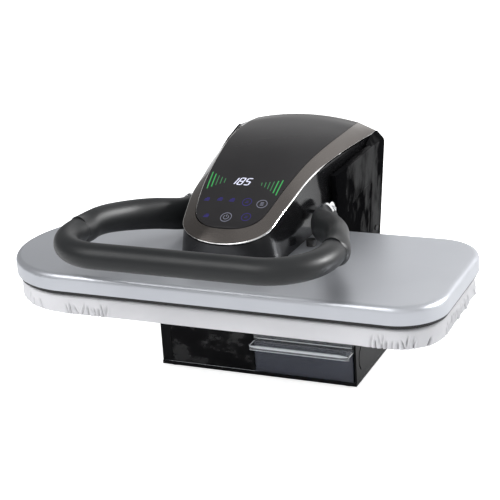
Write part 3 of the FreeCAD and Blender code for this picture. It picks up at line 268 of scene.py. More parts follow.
def make_bezel_material():
    """Gunmetal lacquer: a brown-grey metal under a thin clear coat."""
    item, tree, shader = new_material("gunmetal_lacquer", Metallic=0.85, Coat_Weight=0.5,
                                      Coat_Roughness=0.04)
    place = object_place(tree)
    blotch = colours(tree, noise(tree, place, 9.0), (0.150, 0.134, 0.124), (0.165, 0.149, 0.139))
    link(tree, blotch, shader.inputs["Base Color"])
    link(tree, between(tree, noise(tree, place, 14.0), 0.07, 0.11), shader.inputs["Roughness"])
    link(tree, bump(tree, noise(tree, place, 30.0), 0.00003), shader.inputs["Normal"])
    return item


def make_glow_material(name, colour, strength):
    """A lit mark of the display: an even glow with a little unevenness in its plastic."""
    item, tree, shader = new_material(name, Emission_Color=(*colour, 1.0),
                                      Emission_Strength=strength, Specular_IOR_Level=0.3)
    place = object_place(tree)
    dim, less_dim = (tuple(share * c for c in colour) for share in (0.10, 0.14))
    link(tree, colours(tree, noise(tree, place, 300.0), dim, less_dim), shader.inputs["Base Color"])
    link(tree, between(tree, noise(tree, place, 60.0), 0.15, 0.25), shader.inputs["Roughness"])
    return item


def make_cloth_material():
    """Off-white cotton: a plain weave of two crossed threads, soft blotches, a slight sheen
    and painted shade in the creases, the colour darkened by the crease depth the cloth mesh
    carries."""
    item, tree, shader = new_material("cotton", Sheen_Weight=0.2, Sheen_Roughness=0.5,
                                      Specular_IOR_Level=0.2)
    place = object_place(tree)
    tone = noise(tree, place, 14.0, detail=4.0)
    # Painted shade: the colour falls to 0.38 of itself where the cloth mesh marks a crease at its
    # deepest.
    crease_shade = tree.nodes.new("ShaderNodeAttribute")
    crease_shade.attribute_name = "crease_shade"
    shade = tree.nodes.new("ShaderNodeVectorMath")
    shade.operation = "SCALE"
    link(tree, colours(tree, tone, (0.74, 0.735, 0.755), (0.79, 0.785, 0.805)), shade.inputs[0])
    link(tree, between(tree, crease_shade.outputs["Fac"], 1.0, 0.38, 0.0, 1.0), shade.inputs["Scale"])
    link(tree, shade.outputs["Vector"], shader.inputs["Base Color"])
    link(tree, between(tree, noise(tree, place, 60.0), 0.80, 0.92), shader.inputs["Roughness"])
    threads = noise(tree, place, 1100.0, detail=2.0, stretch=(1.0, 0.35, 1.0))
    cross = noise(tree, place, 1100.0, detail=2.0, stretch=(0.35, 1.0, 0.35))
    weave = maths(tree, "ADD", threads, cross)
    soft = bump(tree, noise(tree, place, 22.0, detail=2.0), 0.0009)
    link(tree, bump(tree, weave, 0.00012, soft), shader.inputs["Normal"])
    return item


SLOT_OF_NODE = {p["node"]: p["material_slot"] for p in frame["record"]["subparts"]}
LOOK_OF_NODE = {
    "column_left": "column_gloss", "column_right": "column_gloss", "front_panel": "front_gloss",
    "head_skirt": "skirt_gloss", "handle_arm_left": "grip", "handle_arm_right": "grip",
    "cheek_screws": "black_matte",
}


def paint_nodes():
    for name, item in nodes.items():
        look = LOOK_OF_NODE.get(name, SLOT_OF_NODE[name])
        item.data.materials.clear()
        item.data.materials.append(materials[look])


# Mesh helpers

def new_piece(name, mesh, body, look, replaced=()):
    piece = bpy.data.objects.new(name, mesh)
    bpy.context.scene.collection.objects.link(piece)
    mesh.materials.clear()
    mesh.materials.append(materials[look])
    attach(piece, body)
    if replaced:
        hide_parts(*replaced)
    return piece


def mesh_from(name, points, faces, smooth=True):
    mesh = bpy.data.meshes.new(name)
    mesh.from_pydata([tuple(p) for p in points], [], faces)
    work = bmesh.new()
    work.from_mesh(mesh)
    bmesh.ops.recalc_face_normals(work, faces=work.faces)
    for face in work.faces:
        face.smooth = smooth
    work.to_mesh(mesh)
    work.free()
    return mesh


def strip_faces(rows, count):
    """Quads between rows of count points each, every row being a closed ring."""
    faces = []
    for row in range(rows - 1):
        for i in range(count):
            j = (i + 1) % count
            a = row * count
            faces.append((a + i, a + j, a + count + j, a + count + i))
    return faces


def tube_faces(rows, count):
    """The quads of a strip closed round each row, and a cap on the first and last row."""
    return strip_faces(rows, count) + [tuple(range(count)),
                                       tuple(range((rows - 1) * count, rows * count))]


def ramp(value, start, end):
    """How far a value is on its way from start to end, from 0 to 1."""
    return min(max((value - start) / (end - start), 0.0), 1.0)


def thicken(piece, thickness):
    """Thickens the piece's sheet inward and applies that."""
    modifier = piece.modifiers.new("thickness", "SOLIDIFY")
    modifier.thickness = thickness
    modifier.offset = -1.0
    modifier.use_even_offset = False
    graph = bpy.context.evaluated_depsgraph_get()
    mesh = bpy.data.meshes.new_from_object(piece.evaluated_get(graph))
    piece.modifiers.clear()
    piece.data = mesh


# The plate outline that cover, board and cloth share: two arcs at the left
# end, two rounded corners at the right.

PLATE_WIDTH = 640.0
PLATE_DEPTH = 259.0
PLATE_Y = -44.0
END_RADIUS = 116.0
CORNER_RADIUS = 62.0


def plate_ring(inset, fine, coarse):
    """Stations (x, y, normal x, normal y) on the outline moved in by the inset. Spacings are
    about fine on the arcs and the right end, and coarse on the long sides."""
    half = PLATE_WIDTH / 2
    low = PLATE_Y - PLATE_DEPTH / 2
    high = PLATE_Y + PLATE_DEPTH / 2
    left_back = PLATE_DEPTH - END_RADIUS
    corner = CORNER_RADIUS
    stations = []

    def run(a, b, normal, spacing):
        length = math.dist(a, b)
        count = max(2, round(length / spacing))
        for i in range(count):
            x = a[0] + (b[0] - a[0]) * i / count
            y = a[1] + (b[1] - a[1]) * i / count
            stations.append((x - normal[0] * inset, y - normal[1] * inset, *normal))

    def turn(centre, radius, start, end):
        count = round(radius * math.radians(end - start) / fine)
        for i in range(count):
            angle = math.radians(start + (end - start) * i / count)
            c, s = math.cos(angle), math.sin(angle)
            stations.append((centre[0] + (radius - inset) * c,
                             centre[1] + (radius - inset) * s, c, s))

    run((-half + END_RADIUS, low), (half - corner, low), (0, -1), coarse)
    turn((half - corner, low + corner), corner, -90, 0)
    run((half, low + corner), (half, high - corner), (1, 0), fine)
    turn((half - corner, high - corner), corner, 0, 90)
    run((half - corner, high), (-half + left_back, high), (0, 1), coarse)
    turn((-half + left_back, high - left_back), left_back, 90, 180)
    turn((-half + END_RADIUS, low + END_RADIUS), END_RADIUS, 180, 270)
    return stations


def lengths_along(stations):
    total = 0.0
    places = []
    for i, here in enumerate(stations):
        places.append(total)
        after = stations[(i + 1) % len(stations)]
        total += math.dist(here[:2], after[:2])
    return places, total


# The cotton cover of the board: taut on top and along the sides, creased round both ends
# where the elastic hem gathers it. A crease zone is a start and an end along the edge and
# the share of creases that are drawn in it.

CLOTH_SPACING = (0.8, 1.2)
CLOTH_TOP = 175.0
CLOTH_LOW = 147.5
CLOTH_SIDE_INSET = 6.3
CLOTH_EDGE = 6.0
CLOTH_FOLD = 2.0
CLOTH_THICK = 0.9
CLOTH_BELLY = 0.5
CLOTH_SIDE_ROWS = 18
HEM_INNER = 23.0
HEM_ROWS = 7
RAIL_X = (100.0, 136.0)
CREASE_SEED = 11
CREASE_SPACING = (3.5, 8.5)
CREASE_LEAN = (-7.0, 7.0)
CREASE_CURVE = (-5.0, 5.0)
CREASE_START = (0.05, 0.5)
CREASE_WIDTH = (1.0, 1.8)
CREASE_STRENGTH = (0.45, 1.2)
CREASE_DEPTH = 2.2
CREASE_ZONES = ((0.0, 16.0, 1.0), (30.0, 64.0, 1.0), (434.0, 490.0, 1.0), (490.0, 545.0, 0.45),
                (545.0, 640.0, 0.95), (640.0, 760.0, 0.5), (1100.0, 1480.0, 0.6),
                (1480.0, 1594.0, 0.45))
ZONE_MARGIN = 14.0


def cloth_rows():
    """Profile of the cover: inset, height, share of the crease depth, and how far down the
    side."""
    rows = [(inset, CLOTH_TOP, 0.0, 0.0) for inset in (57.0, 36.0, 20.0, 13.0)]
    for step in range(7):
        angle = math.radians(15.0 * step)
        inset = CLOTH_SIDE_INSET + CLOTH_EDGE * (1 - math.sin(angle))
        rows.append((inset, CLOTH_TOP - CLOTH_EDGE * (1 - math.cos(angle)), 0.0, 0.0))
    high = CLOTH_TOP - CLOTH_EDGE
    low = CLOTH_LOW + CLOTH_FOLD
    for step in range(1, CLOTH_SIDE_ROWS + 1):
        t = step / CLOTH_SIDE_ROWS
        rows.append((CLOTH_SIDE_INSET - CLOTH_BELLY * math.sin(math.pi * t),
                     high + (low - high) * t, 1.0, t))
    for step in range(1, 5):
        angle = math.radians(22.5 * step)
        inset = CLOTH_SIDE_INSET + CLOTH_FOLD * (1 - math.cos(angle))
        rows.append((inset, low - CLOTH_FOLD * math.sin(angle), 1.0 - 0.15 * step, 1.0))
    for step in range(1, HEM_ROWS + 1):
        width = HEM_INNER - CLOTH_SIDE_INSET - CLOTH_FOLD
        inset = CLOTH_SIDE_INSET + CLOTH_FOLD + width * step / HEM_ROWS
        rows.append((inset, CLOTH_LOW, 0.4 - 0.04 * step, 1.0))
    return rows


def make_creases():
    """Each crease: place along the edge, lean, curve, start down the side, width, strength."""
    source = random.Random(CREASE_SEED)
    creases = []
    for start, end, share in CREASE_ZONES:
        place = start
        while place < end:
            place += source.uniform(*CREASE_SPACING)
            if source.random() <= share:
                creases.append((place, *(source.uniform(*span) for span in (
                    CREASE_LEAN, CREASE_CURVE, CREASE_START, CREASE_WIDTH, CREASE_STRENGTH))))
    return creases


def crease_depth(creases, total, place, t):
    """How far in (+) the cloth lies at a place along the edge, t down its side. Each crease is
    a groove with a lower ridge on either side."""
    depth = 0.0
    for at, lean, curve, start, width, strength in creases:
        if t <= start:
            continue
        run = (t - start) / (1.0 - start)
        line = at + lean * (t - 0.5) + curve * (t - 0.5) ** 2
        off = (place - line + total / 2) % total - total / 2
        if abs(off) > 6.0 * width:
            continue
        groove = math.exp(-(off / width) ** 2)
        after = 0.65 * math.exp(-((off - 2.1 * width) / width) ** 2)
        before = 0.35 * math.exp(-((off + 2.3 * width) / (1.3 * width)) ** 2)
        depth += min(1.0, run * 2.2) * strength * (groove - after - before)
    return depth


def looseness(place):
    """A crease zone's share inside it, falling to 0 over the margin beside it."""
    most = 0.0
    for start, end, share in CREASE_ZONES:
        gap = max(start - place, place - end, 0.0)
        most = max(most, share * max(0.0, 1.0 - gap / ZONE_MARGIN))
    return most


def loose_wave(place):
    """The broad unevenness of the loose cloth at a place along the edge."""
    return (math.sin(place / 9.5) * math.sin(place / 23.0 + 1.3)
            + 0.5 * math.sin(place / 5.1 + 0.6))


def make_cloth():
    stations = plate_ring(CLOTH_SIDE_INSET, *CLOTH_SPACING)
    places, total = lengths_along(stations)
    creases = make_creases()
    rows = cloth_rows()
    points = []
    crease_shades = []
    for inset, z, share, t in rows:
        for (x, y, nx, ny), place in zip(plate_ring(inset, *CLOTH_SPACING), places):
            out = down = depth = 0.0
            if share > 0.0:
                loose = looseness(place)
                wave = loose_wave(place)
                depth = crease_depth(creases, total, place, t)
                out = share * (-CREASE_DEPTH * depth + (0.6 + 0.5 * wave) * loose * t)
                on_rail = y > 0.0 and RAIL_X[0] < abs(x) < RAIL_X[1]
                if t >= 1.0 and not on_rail:
                    down = 0.35 * share * loose * (1.0 + wave)
            points.append(((x + nx * out) * MM, (y + ny * out) * MM, (z - down) * MM))
            # The crease depth is kept on the mesh to darken the cotton's colour there: painted
            # shade in the creases.
            crease_shades.append(min(max(depth * share, 0.0), 1.0))
    count = len(stations)
    faces = strip_faces(len(rows), count)
    faces.append(tuple(range(count)))
    mesh = mesh_from("cotton_cover", points, faces)
    mesh.attributes.new("crease_shade", "FLOAT", "POINT").data.foreach_set("value", crease_shades)
    piece = new_piece("cotton_cover", mesh, "root", "cloth", ("board_cover",))
    thicken(piece, CLOTH_THICK * MM)
    for polygon in piece.data.polygons:
        polygon.use_smooth = True


# The felt pad inside it.

PAD_INSET = 8.8
PAD_LOW = 151.5
PAD_TOP = 173.4
PAD_EDGE = 5.0
PAD_SPACING = (5.0, 9.0)


def make_pad():
    edge = []
    for step in range(6):
        angle = math.radians(18.0 * step)
        edge.append((PAD_INSET + PAD_EDGE * (1 - math.sin(angle)),
                     PAD_EDGE * (1 - math.cos(angle))))
    rows = [(40.0, PAD_LOW), (22.0, PAD_LOW)]
    rows += [(inset, PAD_LOW + rise) for inset, rise in edge]
    rows.append((PAD_INSET - 0.2, (PAD_LOW + PAD_TOP) / 2))
    rows += [(inset, PAD_TOP - rise) for inset, rise in reversed(edge)]
    rows += [(22.0, PAD_TOP + 0.1), (40.0, PAD_TOP + 0.2)]
    points = [(x * MM, y * MM, z * MM) for inset, z in rows
              for x, y, *_ in plate_ring(inset, *PAD_SPACING)]
    mesh = mesh_from("felt_pad", points, tube_faces(len(rows), len(points) // len(rows)))
    piece = new_piece("felt_pad", mesh, "root", "foam", ("board_pad",))


# The soft grip round the front of the loop handle. Turns are in degrees.

GRIP_SIDES = 48
GRIP_RADIUS = 17.2
GRIP_BORE = 10.4
GRIP_LIP = 0.9
HANDLE_HALF = 181.3
HANDLE_FRONT = -227.8
HANDLE_Z = 260.0
HANDLE_BEND = 72.0
ARM_SWEEP = 192.0
SEAM_TURN = 4.0
STRAIGHT_STEPS, BEND_STEPS, SWEEP_STEPS = 10, 26, 6


def grip_path():
    """Places and level directions along the grip, from its left end to its right one."""
    bend_y = HANDLE_FRONT + HANDLE_BEND
    half = []
    for i in range(STRAIGHT_STEPS + 1):
        x = (HANDLE_HALF - HANDLE_BEND) * i / STRAIGHT_STEPS
        half.append((x, HANDLE_FRONT, 0.0))
    for i in range(1, BEND_STEPS + 1):
        turn = math.radians(90.0 * i / BEND_STEPS)
        x = HANDLE_HALF - HANDLE_BEND + HANDLE_BEND * math.sin(turn)
        half.append((x, bend_y - HANDLE_BEND * math.cos(turn), math.degrees(turn)))
    for i in range(1, SWEEP_STEPS + 1):
        turn = math.radians(SEAM_TURN * i / SWEEP_STEPS)
        x = HANDLE_HALF - ARM_SWEEP + ARM_SWEEP * math.cos(turn)
        half.append((x, bend_y + ARM_SWEEP * math.sin(turn), 90.0 + math.degrees(turn)))
    left = [(-x, y, -way) for x, y, way in reversed(half[1:])]
    return left + half


def make_grip():
    path = grip_path()
    around = GRIP_SIDES
    lip = []
    for step in range(5):
        angle = math.radians(22.5 * step)
        lip.append((GRIP_RADIUS - GRIP_LIP * (1 - math.sin(angle)),
                    GRIP_LIP * (1 - math.cos(angle))))
    last = len(path) - 1
    rings = [(0, GRIP_BORE, 0.0)]
    rings += [(0, radius, ahead) for radius, ahead in lip]
    rings += [(i, GRIP_RADIUS, 0.0) for i in range(1, last)]
    rings += [(last, radius, -ahead) for radius, ahead in reversed(lip)]
    rings.append((last, GRIP_BORE, 0.0))
    rings += [(i, GRIP_BORE, 0.0) for i in range(last - 1, 0, -1)]
    points = []
    for i, radius, ahead in rings:
        x, y, way = path[i]
        angle = math.radians(way)
        along = Vector((math.cos(angle), math.sin(angle), 0.0))
        side = Vector((math.sin(angle), -math.cos(angle), 0.0))
        centre = Vector((x, y, HANDLE_Z)) + along * ahead
        for k in range(around):
            turn = 2 * math.pi * k / around
            points.append((centre + side * (radius * math.cos(turn))
                           + Vector((0, 0, radius * math.sin(turn)))) * MM)
    rows = len(rings)
    faces = strip_faces(rows, around)
    base = (rows - 1) * around
    faces += [(base + k, base + (k + 1) % around, (k + 1) % around, k) for k in range(around)]
    mesh = mesh_from("soft_grip", points, faces)
    new_piece("soft_grip", mesh, "handle", "grip", ("handle_grip",))


# Painted highlights along the hood, in metres: a bright metal bead on the band's lower edge
# stands in for the light its rounded edge catches, and a fine one in the panel's left seam for
# the light caught on that side only. Each follows the chain of sharp edges nearest to a place.

BEAD_SIDES = 8
BEAD_SPACING = 0.003
CHAIN_STRAIGHTNESS = 0.6
BAND_EDGE_ANGLE, BAND_EDGE_PLACE = 0.8, Vector((0.0, -0.094, 0.2385))
PANEL_EDGE_ANGLE, PANEL_EDGE_PLACE = 0.5, Vector((-0.066, 0.02, 0.297))
PANEL_BEAD_RADIUS = 0.00035


def sharp_chain(name, least, near):
    """The chain of sharp edges of a node's mesh that passes nearest to a point."""
    work = bmesh.new()
    work.from_mesh(nodes[name].data)
    bmesh.ops.remove_doubles(work, verts=work.verts, dist=1e-6)
    sharp = [e for e in work.edges if len(e.link_faces) == 2 and e.calc_face_angle(0.0) > least]
    at = {}
    for edge in sharp:
        for vert in edge.verts:
            at.setdefault(vert.index, []).append(edge)
    start = min(sharp, key=lambda e: min((v.co - near).length for v in e.verts))
    chain = [start.verts[0], start.verts[1]]
    used = {start}
    for end in (1, 0):
        if end == 0:
            chain.reverse()
        while True:
            here = chain[-1]
            way = (here.co - chain[-2].co).normalized()
            options = [((e.other_vert(here).co - here.co).normalized().dot(way), e)
                       for e in at[here.index] if e not in used]
            options = [(turn, e) for turn, e in options if turn > CHAIN_STRAIGHTNESS]
            if not options:
                break
            best = max(options, key=lambda option: option[0])[1]
            used.add(best)
            chain.append(best.other_vert(here))
    points = [v.co.copy() for v in chain]
    work.free()
    return points


def even_points(points, spacing):
    """Points at an even spacing along a polyline."""
    spots = [0.0]
    for a, b in zip(points, points[1:]):
        spots.append(spots[-1] + (b - a).length)
    count = max(2, round(spots[-1] / spacing))
    result = []
    k = 0
    for i in range(count + 1):
        want = spots[-1] * i / count
        while k < len(points) - 2 and spots[k + 1] < want:
            k += 1
        share = (want - spots[k]) / max(spots[k + 1] - spots[k], 1e-9)
        result.append(points[k].lerp(points[k + 1], min(max(share, 0.0), 1.0)))
    return result


def bead(name, points, radius, body, look, taper=6):
    """A round bead along points, thinning over taper steps to nothing at both ends; radius
    may be a function of a point."""
    rows = len(points)
    mesh_points = []
    for i, p in enumerate(points):
        along = (points[min(i + 1, rows - 1)] - points[max(i - 1, 0)]).normalized()
        side = along.cross(Vector((0, 0, 1))).normalized()
        up = side.cross(along)
        wide = radius(p) if callable(radius) else radius
        thin = wide * min(1.0, (i + 0.6) / taper, (rows - 1 - i + 0.6) / taper)
        for k in range(BEAD_SIDES):
            turn = 2 * math.pi * k / BEAD_SIDES
            mesh_points.append(p + side * (thin * math.cos(turn)) + up * (thin * math.sin(turn)))
    mesh = mesh_from(name, mesh_points, tube_faces(rows, BEAD_SIDES))
    new_piece(name, mesh, body, look)


def band_bead_radius(point):
    """Width of the painted highlight bead: thick along the right side, thin round the nose,
    thinnest at the left and far back.
    """
    right = ramp(point.x / MM, -5.0, 40.0)
    near = ramp(point.y / MM, 95.0, 70.0)
    left = ramp(point.x / MM, -20.0, -45.0)
    return (0.12 + near * (0.40 + 0.90 * right - 0.30 * left)) * MM


def make_hood_lines():
    lower = sharp_chain("hood_band", BAND_EDGE_ANGLE, BAND_EDGE_PLACE)
    bead("band_bead", even_points(lower, BEAD_SPACING), band_bead_radius, "head", "trim")
    upper = sharp_chain("control_panel", PANEL_EDGE_ANGLE, PANEL_EDGE_PLACE)
    left_seam = [p for p in even_points(upper, BEAD_SPACING)
                 if p.x < -0.045 and -0.055 < p.y < 0.12]
    bead("panel_bead", left_seam, PANEL_BEAD_RADIUS, "head", "trim", taper=12)


# Marks of the display, laid on the panel: thin closed strips that reach a little into it.

MARK_TOP = 0.14
MARK_BOTTOM = -0.3


def place_on(name):
    """A function that puts a point on top of a node, raised by a lift."""
    work = bmesh.new()
    work.from_mesh(nodes[name].data)
    surface = BVHTree.FromBMesh(work)
    work.free()

    def place(x, y, lift):
        spot = surface.ray_cast(Vector((x * MM, y * MM, 1.0)), Vector((0, 0, -1)))[0]
        return Vector((spot.x, spot.y, spot.z + lift * MM))

    return place


def stroke(place, line, width, closed=False, step=1.5):
    """Points and faces of a flat line on a surface; place maps (x, y, lift) to a point."""
    spots = [Vector((x, y, 0.0)) for x, y in line]
    if closed:
        spots.append(spots[0])
    spots = even_points(spots, step)
    if closed:
        spots.pop()
    count = len(spots)
    points = []
    for i, spot in enumerate(spots):
        before = spots[i - 1] if closed or i > 0 else spots[i]
        after = spots[(i + 1) % count] if closed or i < count - 1 else spots[i]
        along = (after - before).normalized()
        side = Vector((-along.y, along.x, 0.0)) * (width / 2)
        for edge, lift in ((spot - side, MARK_TOP), (spot + side, MARK_TOP),
                           (spot + side, MARK_BOTTOM), (spot - side, MARK_BOTTOM)):
            points.append(place(edge.x, edge.y, lift))
    faces = []
    for i in range(count if closed else count - 1):
        a = 4 * i
        b = 4 * ((i + 1) % count)
        faces += [(a, a + 1, b + 1, b), (a + 1, a + 2, b + 2, b + 1), (a + 2, a + 3, b + 3, b + 2),
                  (a + 3, a, b, b + 3)]
    if not closed:
        faces += [(3, 2, 1, 0), tuple(4 * (count - 1) + k for k in range(4))]
    return points, faces


def joined(strokes):
    points = []
    faces = []
    for more_points, more_faces in strokes:
        base = len(points)
        points += more_points
        faces += [tuple(base + i for i in face) for face in more_faces]
    return points, faces


def ring_line(x, y, radius_x, radius_y, start=0.0, end=360.0, count=28):
    """Points on an oval, or on its arc from start to end in degrees; a full one stays open."""
    full = abs(end - start) >= 359.9
    angles = [math.radians(start + (end - start) * i / count)
              for i in range(count if full else count + 1)]
    return [(x + radius_x * math.cos(a), y + radius_y * math.sin(a)) for a in angles]


def dashes(place, x, y, rows):
    """Level dashes round a middle; each row is left end, right end, height and width."""
    return [stroke(place, [(x + left, y + up), (x + right, y + up)], width)
            for left, right, up, width in rows]


SEGMENTS = {"1": "bc", "8": "abcdefg", "5": "acdfg"}
SEGMENT_ENDS = {"a": ((0, 2), (1, 2)), "b": ((1, 2), (1, 1)), "c": ((1, 1), (1, 0)),
                "d": ((0, 0), (1, 0)), "e": ((0, 1), (0, 0)), "f": ((0, 2), (0, 1)),
                "g": ((0, 1), (1, 1))}
SEGMENT_GAP = 0.06
DIGITS = {"text": "185", "left": -22.0, "low": 2.0, "wide": 6.6, "tall": 14.0, "pitch": 10.4,
          "slant": 0.20, "width": 1.7}


def digit_strokes(place, text, left, low, wide, tall, pitch, slant, width):
    """Seven-segment digits of a slanted display."""
    strokes = []
    for i, mark in enumerate(text):
        for segment in SEGMENTS[mark]:
            ends = []
            for column, row in SEGMENT_ENDS[segment]:
                up = row * tall / 2
                ends.append((left + i * pitch + column * wide + slant * up, low + up))
            (x0, y0), (x1, y1) = ends
            gap_x, gap_y = (x1 - x0) * SEGMENT_GAP, (y1 - y0) * SEGMENT_GAP
            line = [(x0 + gap_x, y0 + gap_y), (x1 - gap_x, y1 - gap_y)]
            strokes.append(stroke(place, line, width))
    return strokes


# Bars: both ends of each, from the outermost one in. The outer two of each side are bright.
LEFT_BARS = ((-58.1, 30.9, -50.8, -12.3), (-51.7, 27.2, -45.8, -9.0), (-45.3, 23.6, -40.8, -5.7),
             (-39.0, 19.9, -35.7, -2.3), (-32.6, 16.3, -30.7, 1.0))
RIGHT_BARS = ((51.3, 21.4, 52.6, -16.1), (45.7, 19.5, 47.3, -12.9), (40.1, 17.5, 41.9, -9.7),
              (34.6, 15.5, 36.5, -6.4), (29.0, 13.6, 31.2, -3.1), (23.4, 11.6, 25.8, 0.1))
BRIGHT_BARS = 2
BRIGHT_WIDTH, DIM_WIDTH = 1.6, 1.2
LINE_WIDTH = 0.9
BLUE_RINGS = ((16.9, -29.4), (25.5, -54.7))
BLUE_RING_RADIUS = 6.4
BLUE_RING_DASHES = ((-2.6, 2.6, -1.2, 0.9), (-1.8, 1.8, 1.4, 0.9))
BLUE_MARKS = ((-42.9, -28.9), (-23.9, -27.6), (-5.9, -27.9), (-32.3, -57.4))
BLUE_MARK_DASHES = ((-3.6, 3.6, -1.9, 1.3), (-2.8, 4.2, 0.4, 1.5), (-1.2, 3.0, 2.6, 1.1))
POWER_MARK = (-2.6, -57.7)
MENU_MARK = (39.2, -30.5)
MENU_DASHES = ((-2.4, 2.4, 0.0, 1.1), (-2.4, 2.4, 2.2, 0.9), (-2.4, 2.4, -2.2, 0.9))


def make_display():
    place = place_on("control_panel")

    def add(name, strokes, look):
        points, faces = joined(strokes)
        new_piece(name, mesh_from(name, points, faces, smooth=False), "head", look)

    add("display_digits", digit_strokes(place, **DIGITS), "digits")
    bright, dim = [], []
    for bars in (LEFT_BARS, RIGHT_BARS):
        for i, (x0, y0, x1, y1) in enumerate(bars):
            share = 0.42 - 0.03 * i
            middle_x, middle_y = (x0 + x1) / 2, (y0 + y1) / 2
            half_x, half_y = (x1 - x0) * share, (y1 - y0) * share
            line = [(middle_x - half_x, middle_y - half_y), (middle_x + half_x, middle_y + half_y)]
            if i < BRIGHT_BARS:
                bright.append(stroke(place, line, BRIGHT_WIDTH))
            else:
                dim.append(stroke(place, line, DIM_WIDTH))
    add("display_bars", bright, "bars")
    add("display_low_bars", dim, "low_bars")
    blue = []
    for x, y in BLUE_RINGS:
        ring = ring_line(x, y, BLUE_RING_RADIUS, BLUE_RING_RADIUS)
        blue.append(stroke(place, ring, LINE_WIDTH, closed=True))
        blue += dashes(place, x, y, BLUE_RING_DASHES)
    for x, y in BLUE_MARKS:
        blue += dashes(place, x, y, BLUE_MARK_DASHES)
    add("display_icons", blue, "icons")
    x, y = POWER_MARK
    white = [stroke(place, ring_line(x, y, 7.6, 7.6), LINE_WIDTH, closed=True),
             stroke(place, ring_line(x, y, 3.6, 3.6, 130.0, 410.0), LINE_WIDTH),
             stroke(place, [(x, y + 1.0), (x, y + 4.8)], LINE_WIDTH)]
    x, y = MENU_MARK
    white.append(stroke(place, ring_line(x, y, 7.2, 6.6), LINE_WIDTH, closed=True))
    white += dashes(place, x, y, MENU_DASHES)
    add("display_rings", white, "rings")


# Painted highlights on the edges of the clear lid, the tank and the base: thin beads that glow
# light grey, each given as start, end and radius. Beside them the curved vent slit in the
# base's right side, as (y, z).

EDGE_SPACING = 6.0
LID_EDGES = (((0.4, -17.0, 57.3), (147.0, -17.0, 57.3), 1.9),
             ((0.4, -17.0, 52.0), (147.0, -17.0, 52.0), 0.3),
             ((0.0, -15.5, 57.4), (0.0, 3.0, 57.4), 0.8),
             ((147.4, -15.5, 56.0), (147.4, 3.0, 56.0), 0.9),
             ((1.0, 3.4, 62.0), (146.0, 3.4, 62.0), 0.5))
TANK_EDGE = ((145.6, 4.6, 11.0), (145.6, 4.6, 49.0), 0.5)
BASE_EDGES = (((-135.2, 4.9, 14.0), (-135.2, 4.9, 72.0), 0.32),
              ((-149.0, 4.8, 9.1), (149.0, 4.8, 9.1), 0.16))
SIDE_SLIT = ((42, 60), (28, 57), (20, 50), (17, 40), (18, 30), (24, 22))
SLIT_WIDTH = 2.2


def edge_bead(name, edge, body, taper):
    start, end, radius = edge
    points = even_points([Vector(start) * MM, Vector(end) * MM], EDGE_SPACING * MM)
    bead(name, points, radius * MM, body, "lid_edge", taper)


def make_edge_highlights():
    for i, edge in enumerate(LID_EDGES):
        edge_bead("lid_edge_%d" % (i + 1), edge, "tank", taper=2)
    edge_bead("tank_edge", TANK_EDGE, "tank", taper=2)
    for i, edge in enumerate(BASE_EDGES):
        edge_bead("base_edge_%d" % (i + 1), edge, "root", taper=4)


def make_side_slit():
    face = max(v.co.x for v in nodes["base_housing"].data.vertices) / MM

    def place(y, z, lift):
        return Vector(((face + lift) * MM, y * MM, z * MM))

    points, faces = stroke(place, SIDE_SLIT, SLIT_WIDTH)
    mesh = mesh_from("side_slit", points, faces, smooth=False)
    new_piece("side_slit", mesh, "root", "slit")


# Dark corner pieces on the column's cheeks that close the view behind the hood's rear end.
# A corner is a row of sections, each given by its y and the height of its inner top edge.
# Their feet stand a little way into the cheeks.

CORNERS = ((205.0, 294.6), (214.0, 300.5), (224.0, 304.6), (233.0, 305.9), (242.4, 306.4))
COLUMN_BACK = 245.0
CORNER_INSIDE, INSIDE_SLOPE = 109.2, 0.084
CHEEK_OUTSIDE, CHEEK_TURN = 121.0, 8.0
CHEEK_TOP, CHEEK_TOP_Y, CHEEK_FALL = 295.4, 242.0, 0.052
CORNER_FOOT = 2.0


def make_corner(name, side):
    points = []
    for y, top in CORNERS:
        inner = CORNER_INSIDE - INSIDE_SLOPE * (COLUMN_BACK - y)
        outer = CHEEK_OUTSIDE - math.tan(math.radians(CHEEK_TURN)) * (COLUMN_BACK - y)
        cheek = CHEEK_TOP - CHEEK_FALL * (CHEEK_TOP_Y - min(y, CHEEK_TOP_Y))
        section = ((inner, cheek - CORNER_FOOT), (inner, top), (inner + 2.4, top - 0.5),
                   (outer, cheek + 0.5), (outer, cheek - CORNER_FOOT))
        points += [Vector((side * x, y, z)) * MM for x, z in section[::-side]]
    mesh = mesh_from(name, points, tube_faces(len(CORNERS), len(section)), smooth=False)
    new_piece(name, mesh, "root", "column_gloss")


# Stage, in metres. Each lamp: place, target, size, power, and whether gloss and matt
# surfaces see it.

LAMPS = {
    "key": ((-0.9, -1.6, 1.9), (0.0, 0.0, 0.15), (1.9, 1.3), 33.0, True, True),
    "top": ((0.2, 0.3, 2.0), (0.0, 0.0, 0.2), (2.2, 1.6), 24.0, False, True),
    "side": ((1.9, 1.1, 1.1), (0.1, 0.0, 0.2), (1.0, 1.2), 16.5, True, True),
    "kick": ((1.9, 0.46, 1.08), (0.16, -0.2, 0.26), (0.6, 0.6), 55.0, True, False),
}
WHITE = (1.0, 1.0, 1.0, 1.0)
SKY = (0.80, 0.82, 0.85, 1.0)
SKY_STRENGTH = 0.50
FLOOR_REACH = 6.0
FLOOR_GLOW = 0.81
FLOOR_SHINE = 0.18


def area_lamp(name, place, target, size, power, glossy, diffuse):
    data = bpy.data.lights.new(name, "AREA")
    data.shape = "RECTANGLE"
    data.size, data.size_y = size
    data.energy = power
    lamp = bpy.data.objects.new(name, data)
    lamp.location = place
    lamp.rotation_mode = "QUATERNION"
    lamp.rotation_quaternion = (Vector(target) - Vector(place)).to_track_quat("-Z", "Y")
    lamp.visible_glossy = glossy
    lamp.visible_diffuse = diffuse
    bpy.context.scene.collection.objects.link(lamp)


